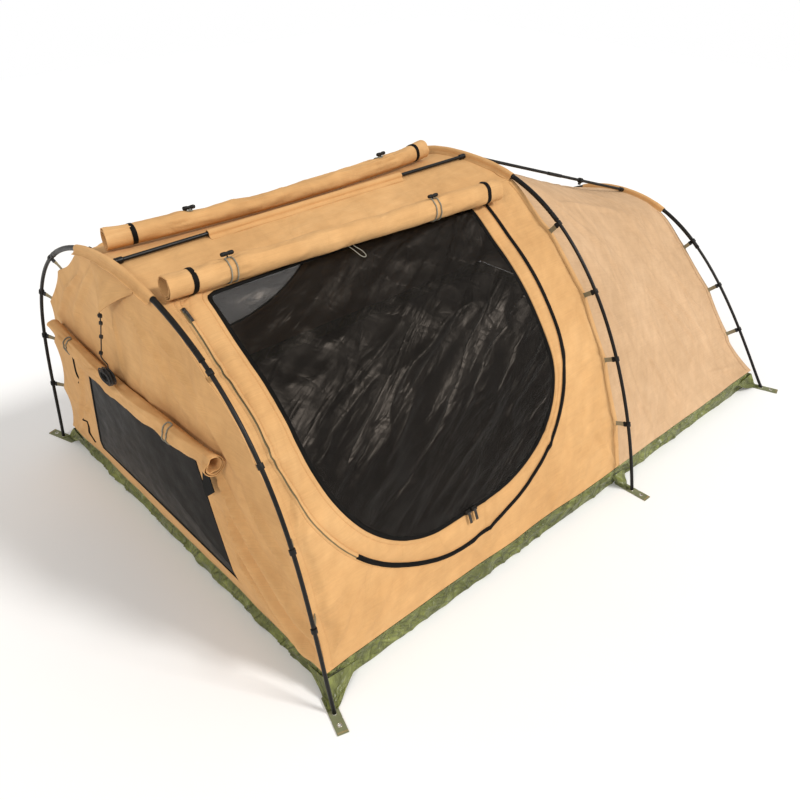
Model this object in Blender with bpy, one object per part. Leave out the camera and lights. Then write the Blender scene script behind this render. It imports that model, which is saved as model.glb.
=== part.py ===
"""Double-dome swag bedroll: tub floor, canvas body on three hoops, rolled-up doors.

Metres. +X runs to the foot end, -Y is the near side, +Z is up.
The origin is the middle of the tub's underside.
"""
import math

import bmesh
import bpy
import numpy as np
from mathutils import Vector

# Fits shared by every piece
SEAM_GAP = 0.0003
RUNNING_GAP = 0.0006
CUT_OVERRUN = 0.004
CANVAS = 0.003

# Floor tub
BASE_LENGTH = 2.172
BASE_WIDTH = 1.480
TUB_HEIGHT = 0.070
TUB_SKIN = 0.003
TUB_CORNER_RADIUS = 0.025
TUB_HEM = 0.0006

# Mattress
MATTRESS_END_GAP = 0.053
MATTRESS_SIDE_GAP = 0.057
MATTRESS_EDGE_HEIGHT = 0.056
MATTRESS_CROWN = 0.012
MATTRESS_CORNER_RADIUS = 0.070
MATTRESS_EDGE_ROUND = 0.012
MATTRESS_WAIST = 0.004
MATTRESS_CROWN_SHARES = (0.12, 0.45, 0.80)
MATTRESS_CORNER_STEPS = 4

# Poles
POLE_DIAMETER = 0.011
FERRULE_DIAMETER = 0.0155
FERRULE_LENGTH = 0.215
POLE_SIDES = 8
FOOT_PIN_DIAMETER = 0.005
SLEEVE_HALF_LENGTH = 0.205
SLEEVE_CLEARANCE = 0.001
SLEEVE_SEAT = 0.0012
HOOP_OUTSET = 0.027
HOOP_TO_CANVAS = 0.042
DROP_EASE_LENGTH = 0.200

# Head hoop
HEAD_HOOP_HEIGHT = 0.958
HEAD_FOOT_PAST_BASE = 0.0625
HEAD_HOOP_TOE = 0.113
HEAD_HOOP_LEAN = -0.006
HEAD_RISE_POWER = 3.53
HEAD_WIDTH_POWER = 1.964
HEAD_CLIP_HEIGHT_SHARES = (0.270, 0.495, 0.695, 0.870)

# Middle hoop
MID_HOOP_X = 0.175
MID_HOOP_HEIGHT = 0.967
MID_FOOT_PAST_BASE = 0.0656
MID_HOOP_TOE = 0.076
MID_HOOP_LEAN = -0.029
MID_RISE_POWER = 1.978
MID_WIDTH_POWER = 2.376
MID_CLIP_HEIGHT_SHARES = (0.255, 0.479, 0.686, 0.870)

# Foot hoop
FOOT_HOOP_HEIGHT = 0.619
FOOT_FOOT_PAST_BASE = 0.0490
FOOT_HOOP_TOE = 0.004
FOOT_HOOP_LEAN = 0.028
FOOT_RISE_POWER = 0.914
FOOT_WIDTH_POWER = 2.153
FOOT_CLIP_HEIGHT_SHARES = (0.331, 0.575, 0.800)

# Canvas body
BASE_BLEND_HEIGHT = 0.080
SEAM_BORDER = 0.024
HEM_BORDER = 0.008
SIDE_BOW = 0.012
CANOPY_SAG = 0.030
ROOF_HALF_WIDTH = 0.200
ROOF_ROWS, ROOF_COLUMNS = 6, 8
CANOPY_ROWS, CANOPY_COLUMNS = 7, 24
WALL_MIDDLE_SHARE = 0.5
FOOT_PANEL_HUB_SHARE = 0.4
FOOT_PANEL_RING_SHARES = (1.0, 0.6)
FOOT_ARCH_STEPS = 20
FOOT_BASE_STEPS = 8

# Door opening and its zips, measured along the skin
DOOR_FROM_HEAD_SEAM = 0.116
DOOR_FROM_MID_SEAM = 0.229
DOOR_FROM_TUB = 0.187
DOOR_FROM_RIDGE = 0.226
DOOR_HEAD_CORNER_RUN = 0.350
DOOR_HEAD_CORNER_RISE = 0.430
DOOR_FOOT_CORNER_RUN = 0.400
DOOR_FOOT_CORNER_RISE = 0.330
TOP_CORNER = 0.030
ZIP_FROM_HEAD_SEAM = 0.044
ZIP_FROM_MID_SEAM = 0.172
ZIP_FROM_TUB = 0.096
ZIP_HEAD_CORNER_RUN = 0.500
ZIP_HEAD_CORNER_RISE = 0.510
ZIP_FOOT_CORNER_RUN = 0.560
ZIP_FOOT_CORNER_RISE = 0.490
ZIP_ABOVE_DOOR_TOP = 0.012
ZIP_END_TRIM = 0.036
ZIP_WIDTH = 0.014
ZIP_HEIGHT = 0.0025
ZIP_LIFT = 0.0010
ZIP_EDGE_SHARES = (0.06, 0.94)
MESH_RING_SHARES = (0.0, 0.35, 0.70)
MESH_SKIN = 0.0015
MESH_RIM = 0.012
SIDE_POINTS = 11
BASE_POINTS = 11
TOP_POINTS = 5

# Head panel and its window
WINDOW_BOTTOM_HEIGHT = 0.165
WINDOW_TOP_HEIGHT = 0.545
WINDOW_BOTTOM_HALF_WIDTH = 0.405
WINDOW_TOP_HALF_WIDTH = 0.305
HEAD_BULGE = 0.036
HEAD_ARCH_STEPS = 26
HEAD_BASE_STEPS = 6
HEAD_RING_SHARES = (0.0, 0.3, 0.65, 1.0)
WINDOW_RING_SHARE = 0.5

# Rolled-up doors
NEAR_ROLL_RADIUS = 0.034
NEAR_ROLL_MIDDLE_RADIUS = 0.033
FAR_ROLL_RADIUS = 0.032
FAR_ROLL_MIDDLE_RADIUS = 0.026
DOOR_ROLL_STEPS = 30
DOOR_ROLL_PITCH = 0.0046
ROLL_SKIN = 0.003
NEAR_ROLL_HEAD_INSET = 0.028
NEAR_ROLL_FOOT_INSET = 0.135
FAR_ROLL_HEAD_INSET = 0.040
FAR_ROLL_FOOT_INSET = 0.100
NEAR_ROLL_HEAD_FROM_RIDGE = 0.203
NEAR_ROLL_FOOT_FROM_RIDGE = 0.246
FAR_ROLL_HEAD_FROM_RIDGE = 0.106
FAR_ROLL_MIDDLE_FROM_RIDGE = 0.060
FAR_ROLL_FOOT_FROM_RIDGE = 0.100
ROLL_SEAT = 0.0006
ROLL_SECTIONS = 5
ROLL_POINTS_PER_TURN = 13

# Rolled-up window cover
WINDOW_ROLL_RADIUS = 0.024
WINDOW_ROLL_STEPS = 32
WINDOW_ROLL_PITCH = 0.0046
WINDOW_ROLL_NEAR_REACH = 0.450
WINDOW_ROLL_FAR_REACH = 0.470
WINDOW_ROLL_HEIGHT = 0.602
WINDOW_ROLL_SEAT = 0.0017
TAB_WIDTH = 0.062
TAB_LENGTH = 0.118
TAB_SKIN = 0.002
TAB_BEAD_DIAMETER = 0.0036
TAB_BEAD_LENGTH = 0.016
TAB_OUTLINE_SHARES = ((-0.2, 0.0), (0.2, 0.0), (0.85, 0.78), (0.55, 1.0), (-1.0, 0.62))
TAB_FROM_NEAR_END = 0.060

# Elastic ties and toggles on the rolls
ELASTIC_DIAMETER = 0.0036
TIE_STRAND_SPACING = 0.018
TIE_SIDES = 5
TIE_END_SHARE = 0.05
TIE_END_TURN = ((3.5, -0.7), (8.5, 0.0), (3.5, 0.7))
WINDOW_TIE_FIRST_STEP = 3
NEAR_TIE_FROM_HEAD = 0.172
NEAR_TIE_FROM_FOOT = 0.262
FAR_TIE_FROM_HEAD = 0.235
FAR_TIE_FROM_FOOT = 0.210
WINDOW_TIE_FROM_NEAR_END = 0.190
TOGGLE_LENGTH = 0.036
TOGGLE_CLEARANCE = 0.0012
TOGGLE_SEAT = 0.0005
TOGGLE_STATION_SHARES = ((-1, True), (-0.75, False), (-0.3, False), (0, True), (0.3, False),
                         (0.75, False), (1, True))
TOGGLE_DIAMETER = 0.011
TOGGLE_WAIST_DIAMETER = 0.008
TOGGLE_STEM_DIAMETER = 0.004

# Ridge
RIDGE_SLEEVE_FROM_HEAD = 0.265
RIDGE_SLEEVE_FROM_MID = 0.290
RIDGE_TIP_DIAMETER = 0.017
RIDGE_TIP_LENGTH = 0.022

# Webbing clips down each leg
CLIP_TAPE_WIDTH = 0.020
CLIP_TAPE_SKIN = 0.0035
CLIP_STRAP_WIDTH = 0.015
CLIP_STRAP_SKIN = 0.003
CLIP_WALL = 0.0028
CLIP_MOUTH_DEG = 50.0
CLIP_ARC_STEPS = 4
TAPE_LIFT = 0.0010

# Peg tabs under the hoop feet
PEG_TAB_WIDTH = 0.030
PEG_TAB_SKIN = 0.0028
PEG_TAB_PAST_FOOT = 0.064
PEG_HOLE_DIAMETER = 0.009
PEG_HOLE_PAST_FOOT = 0.036
FOOT_EYELET_DIAMETER = 0.0065
CORNER_TAB_TURN_DEG = 18.0

# Guy point, guy rope and hank
BEAK_HALF_WIDTH = 0.112
BEAK_REACH = 0.040
BEAK_DEPTH = 0.095
BEAK_EDGE_DEPTH = 0.012
BEAK_TOP_MARGIN = 0.003
BEAK_NARROWING_SHARE = 0.2
BEAK_COLUMNS = 6
CORD_DIAMETER = 0.0032
CORD_POINT_DIAMETERS = 2.5
CORD_LEAD_DIAMETERS = 3
HANK_LENGTH = 0.070
HANK_HEIGHT = 0.050
HANK_TURNS_PER_LAYER = 3
HANK_LAYERS = 4
HANK_PITCH = 0.0050
HANK_LAYER_PITCH = 0.0048
HANK_WAIST_SHARE = 0.18
HANK_WAIST_POWER = 3
HANK_ROUND_POWER = 0.8
HANK_CLIMB_TURN_SHARE = 0.25
HANK_POINTS_PER_TURN = 24
HANK_X = -1.1860
HANK_Y = 0.010
HANK_HEIGHT_ABOVE_ROLL = 0.027
GUY_ROUTE = (
    (0.0000, 0.0000, -0.0120),
    (-0.0020, 0.0015, -0.0340),
    (-0.0060, 0.0025, -0.0560),
    (-0.0100, 0.0035, -0.0800),
    (-0.0140, 0.0045, -0.1020),
    (-0.0180, 0.0060, -0.1230),
)

# Mesh door sliders and their pulls
SLIDER_LENGTH = 0.016
SLIDER_WIDTH = 0.011
SLIDER_HEIGHT = 0.004
SLIDER_EAR_HEIGHT = 0.0075
SLIDER_EAR_THICKNESS = 0.0025
SLIDER_PIN_DIAMETER = 0.002
SLIDER_X = -0.520
SLIDER_SPACING = 0.024
PULL_LENGTH = 0.032
PULL_WIDTH = 0.0085
PULL_SKIN = 0.0022
PULL_REST_TILT_DEG = 8.0
PULL_EYE_DIAMETER = 0.0056
SMALL_SIDES = 8

# Colours, as linear values
TAN = (0.66, 0.40, 0.17)
OLIVE = (0.16, 0.20, 0.06)
MESH_BLACK = (0.018, 0.015, 0.013)
POLE_BLACK = (0.020, 0.018, 0.016)
WEB_GREY = (0.20, 0.19, 0.13)
FOAM_GREY = (0.30, 0.31, 0.30)
ZIP_BLACK = (0.015, 0.013, 0.012)

NEAR = -1
FAR = 1
POLE_RADIUS = POLE_DIAMETER / 2
SLEEVE_BORE = POLE_RADIUS + SLEEVE_CLEARANCE
SLEEVE_RADIUS = SLEEVE_BORE + CANVAS
SLEEVE_DROP = SLEEVE_RADIUS + SLEEVE_SEAT
SLEEVE_FLAT = SLEEVE_RADIUS * math.cos(math.pi / POLE_SIDES)
RIDGE_DROP = SLEEVE_DROP - SEAM_GAP - SLEEVE_FLAT
HALF_LENGTH = BASE_LENGTH / 2
HALF_WIDTH = BASE_WIDTH / 2
SKIRT_HEIGHT = TUB_HEIGHT + 2 * SEAM_GAP
FINE_STEPS = 400
ZONE_STEPS = (9, 3, 4)
PROFILE_STEPS = 160
ARC_DELTA_SHARE = 0.004
OUTLINE_TOLERANCE = 0.000001


# Scene and materials
def clear_scene():
    for obj in list(bpy.data.objects):
        bpy.data.objects.remove(obj, do_unlink=True)


def make_material(name, colour, roughness, metallic=0.0):
    material = bpy.data.materials.new(name)
    material.use_nodes = True
    shader = material.node_tree.nodes["Principled BSDF"]
    shader.inputs["Base Color"].default_value = (*colour, 1.0)
    shader.inputs["Roughness"].default_value = roughness
    shader.inputs["Metallic"].default_value = metallic
    return material


def add_mesh(name, points, faces, material, origin=None, smooth_deg=40.0):
    """A mesh object; its origin is on its joint's axis when one is given."""
    origin = Vector((0, 0, 0)) if origin is None else Vector(origin)
    mesh = bpy.data.meshes.new(name)
    mesh.from_pydata([tuple(Vector(p) - origin) for p in points], [], faces)
    work = bmesh.new()
    work.from_mesh(mesh)
    bmesh.ops.recalc_face_normals(work, faces=work.faces[:])
    work.to_mesh(mesh)
    work.free()
    mesh.shade_smooth()
    mesh.set_sharp_from_angle(angle=math.radians(smooth_deg))
    obj = bpy.data.objects.new(name, mesh)
    obj.location = origin
    obj.data.materials.append(material)
    bpy.context.scene.collection.objects.link(obj)
    return obj


def apply_boolean(target, other, operation):
    """Joins or cuts target with other, which is then removed."""
    bpy.context.view_layer.update()
    modifier = target.modifiers.new(operation, "BOOLEAN")
    modifier.operation = operation
    modifier.solver = "EXACT"
    modifier.object = other
    graph = bpy.context.evaluated_depsgraph_get()
    result = bpy.data.meshes.new_from_object(target.evaluated_get(graph))
    target.modifiers.remove(modifier)
    old = target.data
    target.data = result
    bpy.data.meshes.remove(old)
    bpy.data.objects.remove(other, do_unlink=True)


# Shapes from rows of points
def ring_faces(rows, columns, closed_rows=False):
    """Quads round a stack of closed rings."""
    faces = []
    for row in range(rows if closed_rows else rows - 1):
        below = row * columns
        above = (row + 1) % rows * columns
        for column in range(columns):
            after = (column + 1) % columns
            faces.append((below + column, below + after, above + after, above + column))
    return faces


def lofted(rings, caps=True):
    """Points and faces of a body through closed rings with flat ends."""
    columns = len(rings[0])
    points = [p for ring in rings for p in ring]
    faces = ring_faces(len(rings), columns, closed_rows=not caps)
    if caps:
        faces.append(tuple(range(columns)))
        faces.append(tuple(range((len(rings) - 1) * columns, len(rings) * columns)))
    return points, faces


def shell(outer, inner, closed=False, centre=None):
    """Points and faces of a closed skin between two grids of the same size.

    closed joins the last column to the first. centre is a pair of points
    that close the last row of each grid with a fan.
    """
    rows = len(outer)
    columns = len(outer[0])
    points = [p for row in outer for p in row] + [p for row in inner for p in row]
    layer = rows * columns

    def at(side, row, column):
        return side * layer + row * columns + column % columns

    spans = columns if closed else columns - 1
    faces = []
    for row in range(rows - 1):
        for column in range(spans):
            quad = [(row, column), (row, column + 1), (row + 1, column + 1), (row + 1, column)]
            faces.append(tuple(at(0, r, c) for r, c in quad))
            faces.append(tuple(at(1, r, c) for r, c in reversed(quad)))
    rims = (0,) if centre else (0, rows - 1)
    for row in rims:
        for column in range(spans):
            faces.append((at(0, row, column), at(0, row, column + 1),
                          at(1, row, column + 1), at(1, row, column)))
    if not closed:
        for column in (0, columns - 1):
            for row in range(rows - 1):
                faces.append((at(0, row, column), at(0, row + 1, column),
                              at(1, row + 1, column), at(1, row, column)))
    if centre:
        for side in (0, 1):
            points.append(centre[side])
            for column in range(spans):
                faces.append((at(side, rows - 1, column), at(side, rows - 1, column + 1),
                              len(points) - 1))
    return points, faces


def directions(path):
    """Unit tangents along a list of points."""
    result = []
    for index in range(len(path)):
        before = path[max(index - 1, 0)]
        after = path[min(index + 1, len(path) - 1)]
        result.append((after - before).normalized())
    return result


def circle_ring(centre, tangent, side_hint, radius, sides):
    side = (side_hint - tangent * side_hint.dot(tangent)).normalized()
    up = tangent.cross(side)
    step = math.tau / sides
    return [centre + radius * (math.cos(step * (k + 0.5)) * side + math.sin(step * (k + 0.5)) * up)
            for k in range(sides)]


def rod(stations, side_hint, sides):
    """A round body through (centre, tangent, radius) stations."""
    rings = [circle_ring(centre, tangent, side_hint, radius, sides)
             for centre, tangent, radius in stations]
    return lofted(rings)


def pipe(path, tangents, outer_radius, inner_radius, side_hint, sides):
    """A tube with a bore through it, along a list of points."""
    out = [circle_ring(p, t, side_hint, outer_radius, sides) for p, t in zip(path, tangents)]
    back = [circle_ring(p, t, side_hint, inner_radius, sides) for p, t in zip(path, tangents)]
    return lofted(out + back[::-1], caps=False)


def prism(outline, centre, first_axis, second_axis, width):
    """A flat outline pushed out to both sides of its plane."""
    normal = first_axis.cross(second_axis).normalized()
    rings = []
    for offset in (-width / 2, width / 2):
        rings.append([centre + first_axis * a + second_axis * b + normal * offset
                      for a, b in outline])
    return lofted(rings)


def resampled(points, count):
    """count + 1 points evenly spaced along an open line."""
    array = np.array([tuple(p) for p in points])
    steps = np.linalg.norm(np.diff(array, axis=0), axis=1)
    along = np.concatenate(([0.0], np.cumsum(steps)))
    wanted = np.linspace(0.0, along[-1], count + 1)
    columns = [np.interp(wanted, along, array[:, axis]) for axis in range(array.shape[1])]
    return [tuple(float(v) for v in row) for row in zip(*columns)]


def path_length(points):
    return sum((Vector(b) - Vector(a)).length for a, b in zip(points, points[1:]))


def smooth_step(value):
    value = min(max(value, 0.0), 1.0)
    return value * value * (3 - 2 * value)


# Hoops: one rule gives every pole's line
class Hoop:
    def __init__(self, name, foot_x, base_x, lean, half_width, toe, height, rise_power,
                 width_power, clip_height_shares):
        self.name = name
        self.foot_x = foot_x
        self.base_x = base_x
        self.lean = lean
        self.half_width = half_width
        self.toe = toe
        self.height = height
        self.rise_power = rise_power
        self.width_power = width_power
        self.clip_height_shares = clip_height_shares
        self.foot_height = PEG_TAB_SKIN + SEAM_GAP

    def point(self, share, side):
        """A point on the pole's middle line at a share of its height."""
        spread = max(1 - share ** self.rise_power, 0.0) ** (1 / self.width_power)
        across = (self.half_width - self.toe) * spread + self.toe * (1 - share) ** 2
        up = self.foot_height + (self.height - self.foot_height) * share
        return Vector((self.foot_x + self.lean * share, side * across, up))

    def half_line(self, side):
        """From the foot to the top, closely spaced."""
        angles = [math.pi / 2 * k / FINE_STEPS for k in range(FINE_STEPS + 1)]
        return [self.point(math.sin(angle), side) for angle in angles]

    def zones(self, side):
        """The half line cut at the ferrule: leg, ferrule and sleeved crown."""
        line = [tuple(p) for p in self.half_line(side)]
        total = path_length(line)
        leg_length = total - SLEEVE_HALF_LENGTH - FERRULE_LENGTH
        cuts = (0.0, leg_length, total - SLEEVE_HALF_LENGTH, total)
        array = np.array(line)
        steps = np.linalg.norm(np.diff(array, axis=0), axis=1)
        along = np.concatenate(([0.0], np.cumsum(steps)))
        zones = []
        for low, high, count in zip(cuts, cuts[1:], ZONE_STEPS):
            wanted = np.linspace(low, high, count + 1)
            columns = [np.interp(wanted, along, array[:, axis]) for axis in range(3)]
            zones.append([Vector(row) for row in zip(*columns)])
        return zones

    def joint_tangent(self, side):
        """Direction of the pole where its ferrule meets the sleeved crown."""
        _, ferrule, crown = self.zones(side)
        return (crown[1] - ferrule[-2]).normalized()

    def skin_x(self, up):
        """The seam's place along the tent at a height."""
        top_x = self.foot_x + self.lean
        top = self.height - SLEEVE_DROP
        return self.base_x + (top_x - self.base_x) * (up - SKIRT_HEIGHT) / (top - SKIRT_HEIGHT)

    def skin_profile(self):
        """The canvas's near half line under this hoop, tub edge to ridge."""
        line = self.half_line(NEAR)
        tangents = directions(line)
        left = path_length(line)
        profile = [(-HALF_WIDTH, SKIRT_HEIGHT)]
        for index, (point, tangent) in enumerate(zip(line, tangents)):
            if index:
                left -= (point - line[index - 1]).length
            ease = smooth_step((left - SLEEVE_HALF_LENGTH) / DROP_EASE_LENGTH)
            drop = SLEEVE_DROP + (HOOP_TO_CANVAS - SLEEVE_DROP) * ease
            across = point.y + tangent.z * drop
            up = point.z - tangent.y * drop
            if up > SKIRT_HEIGHT + BASE_BLEND_HEIGHT:
                profile.append((min(across, 0.0), up))
        profile[-1] = (0.0, profile[-1][1])
        flat = resampled(profile, PROFILE_STEPS)
        return np.array([(self.skin_x(up), across, up) for across, up in flat])


class Bay:
    """Canvas between two hoops. along runs 0 to 1; around runs 0 near, 1 ridge, 2 far."""

    def __init__(self, start, end, bow, ridge_sag):
        self.start = start.skin_profile()
        self.end = end.skin_profile()
        self.bow = bow
        self.ridge_sag = ridge_sag
        self.length = float(np.mean(self.end[:, 0] - self.start[:, 0]))
        self.arc = (path_length(self.start) + path_length(self.end)) / 2

    def flat_point(self, along, share):
        places = np.linspace(0.0, 1.0, PROFILE_STEPS + 1)
        near = [np.interp(share, places, self.start[:, axis]) for axis in range(3)]
        past = [np.interp(share, places, self.end[:, axis]) for axis in range(3)]
        return Vector(near) * (1 - along) + Vector(past) * along

    def outward(self, along, around):
        """Outward direction in the cross-section."""
        share = around if around <= 1 else 2 - around
        low = self.flat_point(along, max(share - ARC_DELTA_SHARE, 0.0))
        high = self.flat_point(along, min(share + ARC_DELTA_SHARE, 1.0))
        tangent = high - low
        normal = Vector((0, -tangent.z, tangent.y)).normalized()
        if share < ARC_DELTA_SHARE:
            normal = Vector((0, -1, 0))
        if share > 1 - ARC_DELTA_SHARE:
            normal = Vector((0, 0, 1))
        return normal if around <= 1 else Vector((0, -normal.y, normal.z))

    def point(self, along, around, lift=0.0):
        share = around if around <= 1 else 2 - around
        place = self.flat_point(along, share)
        if around > 1:
            place.y = -place.y
        span = 4 * along * (1 - along)
        inward = self.bow * span * math.sin(math.pi * share) + self.ridge_sag * span * share ** 2
        return place + self.outward(along, around) * (lift - inward)

    def skin(self, pairs_by_row, thickness=CANVAS):
        """Outer and inner point grids from rows of (along, around) pairs."""
        outer = [[self.point(a, r) for a, r in row] for row in pairs_by_row]
        inner = [[self.point(a, r, -thickness) for a, r in row] for row in pairs_by_row]
        return outer, inner


# Outlines on a door wall, as four sides with matching counts
def side_counts():
    return (SIDE_POINTS, BASE_POINTS, SIDE_POINTS, TOP_POINTS)


def corner_arc(centre, run, rise, start_deg, steps=12):
    points = []
    for index in range(steps + 1):
        angle = math.radians(start_deg + 90 * index / steps)
        points.append((centre[0] + run * math.cos(angle), centre[1] + rise * math.sin(angle)))
    return points


def joined_sides(corners):
    """A closed outline from four corner arcs, cut at each arc's middle."""
    outline = []
    for index, count in enumerate(side_counts()):
        before = corners[index]
        after = corners[(index + 1) % 4]
        middle_before = len(before) // 2
        middle_after = len(after) // 2
        side = before[middle_before:] + after[:middle_after + 1]
        outline += resampled(side, count)[:-1]
    return outline


def rounded_outline(limits, head_corner, foot_corner, shrink=0.0):
    """Outline in lengths along and around, top head corner first."""
    low_x, high_x = limits[0] + shrink, limits[1] - shrink
    low_s, high_s = limits[2] + shrink, limits[3] - shrink
    top = TOP_CORNER - shrink
    head_run, head_rise = (size - shrink for size in head_corner)
    foot_run, foot_rise = (size - shrink for size in foot_corner)
    corners = [
        corner_arc((low_x + top, high_s - top), top, top, 90),
        corner_arc((low_x + head_run, low_s + head_rise), head_run, head_rise, 180),
        corner_arc((high_x - foot_run, low_s + foot_rise), foot_run, foot_rise, 270),
        corner_arc((high_x - top, high_s - top), top, top, 0),
    ]
    return joined_sides(corners)


def square_outline(low_x, high_x, low_s, high_s):
    corners = [(low_x, high_s), (low_x, low_s), (high_x, low_s), (high_x, high_s)]
    outline = []
    for index, count in enumerate(side_counts()):
        outline += resampled([corners[index], corners[(index + 1) % 4]], count)[:-1]
    return outline


def blended(first, second, share):
    return [(a[0] + (b[0] - a[0]) * share, a[1] + (b[1] - a[1]) * share)
            for a, b in zip(first, second)]


# Floor tub and mattress
def rounded_rectangle(half_x, half_y, radius, up, steps=3):
    ring = []
    for corner, (sx, sy) in enumerate(((1, 1), (-1, 1), (-1, -1), (1, -1))):
        centre = (sx * (half_x - radius), sy * (half_y - radius))
        for index in range(steps + 1):
            angle = math.pi / 2 * (corner + index / steps)
            ring.append(Vector((centre[0] + radius * math.cos(angle),
                                centre[1] + radius * math.sin(angle), up)))
    return ring


def build_floor_tub(material):
    inner_radius = TUB_CORNER_RADIUS - TUB_SKIN
    rings = [
        rounded_rectangle(HALF_LENGTH - TUB_HEM, HALF_WIDTH - TUB_HEM, TUB_CORNER_RADIUS, 0.0),
        rounded_rectangle(HALF_LENGTH, HALF_WIDTH, TUB_CORNER_RADIUS, TUB_SKIN),
        rounded_rectangle(HALF_LENGTH, HALF_WIDTH, TUB_CORNER_RADIUS, TUB_HEIGHT),
        rounded_rectangle(HALF_LENGTH - TUB_SKIN, HALF_WIDTH - TUB_SKIN, inner_radius, TUB_HEIGHT),
        rounded_rectangle(HALF_LENGTH - TUB_SKIN, HALF_WIDTH - TUB_SKIN, inner_radius, TUB_SKIN),
    ]
    add_mesh("floor_tub", *lofted(rings), material)


def build_mattress(material):
    half_x = HALF_LENGTH - TUB_SKIN - MATTRESS_END_GAP
    half_y = HALF_WIDTH - TUB_SKIN - MATTRESS_SIDE_GAP
    bottom = TUB_SKIN + SEAM_GAP
    edge = MATTRESS_EDGE_ROUND
    top = bottom + MATTRESS_EDGE_HEIGHT
    radius = MATTRESS_CORNER_RADIUS
    waist_height = bottom + MATTRESS_EDGE_HEIGHT / 2

    def ring(inset, up):
        return rounded_rectangle(half_x - inset, half_y - inset, radius, up, MATTRESS_CORNER_STEPS)

    rings = [ring(edge, bottom), ring(0.0, bottom + edge), ring(MATTRESS_WAIST, waist_height),
             ring(0.0, top - edge), ring(edge, top)]
    for share in MATTRESS_CROWN_SHARES:
        inset = edge + (half_y - radius - edge) * share
        rise = MATTRESS_CROWN * math.sin(math.pi / 2 * share)
        rings.append(ring(inset, top + rise))
    add_mesh("mattress", *lofted(rings), material, smooth_deg=60.0)


# Canvas walls with their doors
class DoorWall:
    """Outlines and grids shared by one side's wall, mesh and zips."""

    def __init__(self, bay, side):
        self.bay = bay
        self.side = side
        length, arc = bay.length, bay.arc
        door = (DOOR_FROM_HEAD_SEAM, length - DOOR_FROM_MID_SEAM,
                DOOR_FROM_TUB, arc - DOOR_FROM_RIDGE)
        corners = ((DOOR_HEAD_CORNER_RUN, DOOR_HEAD_CORNER_RISE),
                   (DOOR_FOOT_CORNER_RUN, DOOR_FOOT_CORNER_RISE))
        self.door = rounded_outline(door, *corners)
        self.mesh_edge = rounded_outline(door, *corners, shrink=SEAM_GAP)
        self.mesh_inner = rounded_outline(door, *corners, shrink=SEAM_GAP + MESH_RIM)
        zip_line = (ZIP_FROM_HEAD_SEAM, length - ZIP_FROM_MID_SEAM, ZIP_FROM_TUB,
                    door[3] + ZIP_ABOVE_DOOR_TOP)
        zip_corners = ((ZIP_HEAD_CORNER_RUN, ZIP_HEAD_CORNER_RISE),
                       (ZIP_FOOT_CORNER_RUN, ZIP_FOOT_CORNER_RISE))
        self.zip_inner = rounded_outline(zip_line, *zip_corners, shrink=ZIP_WIDTH / 2)
        self.zip_outer = rounded_outline(zip_line, *zip_corners, shrink=-ZIP_WIDTH / 2)
        limits = (SEAM_GAP, length - SEAM_GAP / 2, 0.0, arc - ROOF_HALF_WIDTH - SEAM_GAP)
        self.edge = square_outline(*limits)
        border = square_outline(limits[0] + SEAM_BORDER, limits[1] - SEAM_BORDER,
                                limits[2] + HEM_BORDER, limits[3] - HEM_BORDER)
        rows = [self.door, self.zip_inner, self.zip_outer,
                blended(self.zip_outer, border, WALL_MIDDLE_SHARE), border, self.edge]
        self.outer, self.inner = bay.skin([self.pairs(row) for row in rows])

    def pairs(self, outline):
        """Lengths turned into (along, around) shares of the bay."""
        result = []
        for along, around in outline:
            share = around / self.bay.arc
            result.append((along / self.bay.length, share if self.side == NEAR else 2 - share))
        return result

    def lifted(self, outline, lift):
        """Points of an outline pushed out of the skin."""
        return [self.bay.point(along, around, lift) for along, around in self.pairs(outline)]


def side_name(side):
    return "near" if side == NEAR else "far"


def build_wall(wall, canvas):
    points, faces = shell(wall.outer, wall.inner, closed=True)
    add_mesh(side_name(wall.side) + "_wall", points, faces, canvas)


def build_mesh_door(wall, material):
    """Mesh with a bound edge that fills the door opening."""
    bay = wall.bay
    middle = (sum(p[0] for p in wall.door) / len(wall.door),
              sum(p[1] for p in wall.door) / len(wall.door))
    hub = [middle] * len(wall.door)
    inner_rows = [blended(wall.mesh_inner, hub, share) for share in MESH_RING_SHARES]
    rim = [wall.pairs(wall.mesh_edge), wall.pairs(wall.mesh_inner)]
    web = [wall.pairs(row) for row in inner_rows]
    rim_outer, rim_inner = bay.skin(rim)
    set_back = (CANVAS - MESH_SKIN) / 2
    web_outer = [[bay.point(a, r, -set_back) for a, r in row] for row in web]
    web_inner = [[bay.point(a, r, -set_back - MESH_SKIN) for a, r in row] for row in web]
    hub_pair = wall.pairs([middle])[0]
    centre = (bay.point(*hub_pair, -set_back), bay.point(*hub_pair, -set_back - MESH_SKIN))
    points, faces = shell(rim_outer + web_outer[1:], rim_inner + web_inner[1:],
                          closed=True, centre=centre)
    add_mesh(side_name(wall.side) + "_door_mesh", points, faces, material, smooth_deg=30.0)


def build_door_zip(wall, material):
    """Zip tape and coil on the canvas round three sides of the door."""
    count = 2 * SIDE_POINTS + BASE_POINTS
    grids = []
    for lift in (ZIP_LIFT + ZIP_HEIGHT, ZIP_LIFT):
        columns = []
        for share in ZIP_EDGE_SHARES:
            line = wall.lifted(blended(wall.zip_inner, wall.zip_outer, share), lift)
            line = line[:count + 1]
            for end, after in ((0, 1), (-1, -2)):
                cut = ZIP_END_TRIM / (line[after] - line[end]).length
                line[end] = line[end].lerp(line[after], cut)
            columns.append(line)
        grids.append([list(row) for row in zip(*columns)])
    add_mesh(side_name(wall.side) + "_door_zip", *shell(*grids), material)


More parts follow.
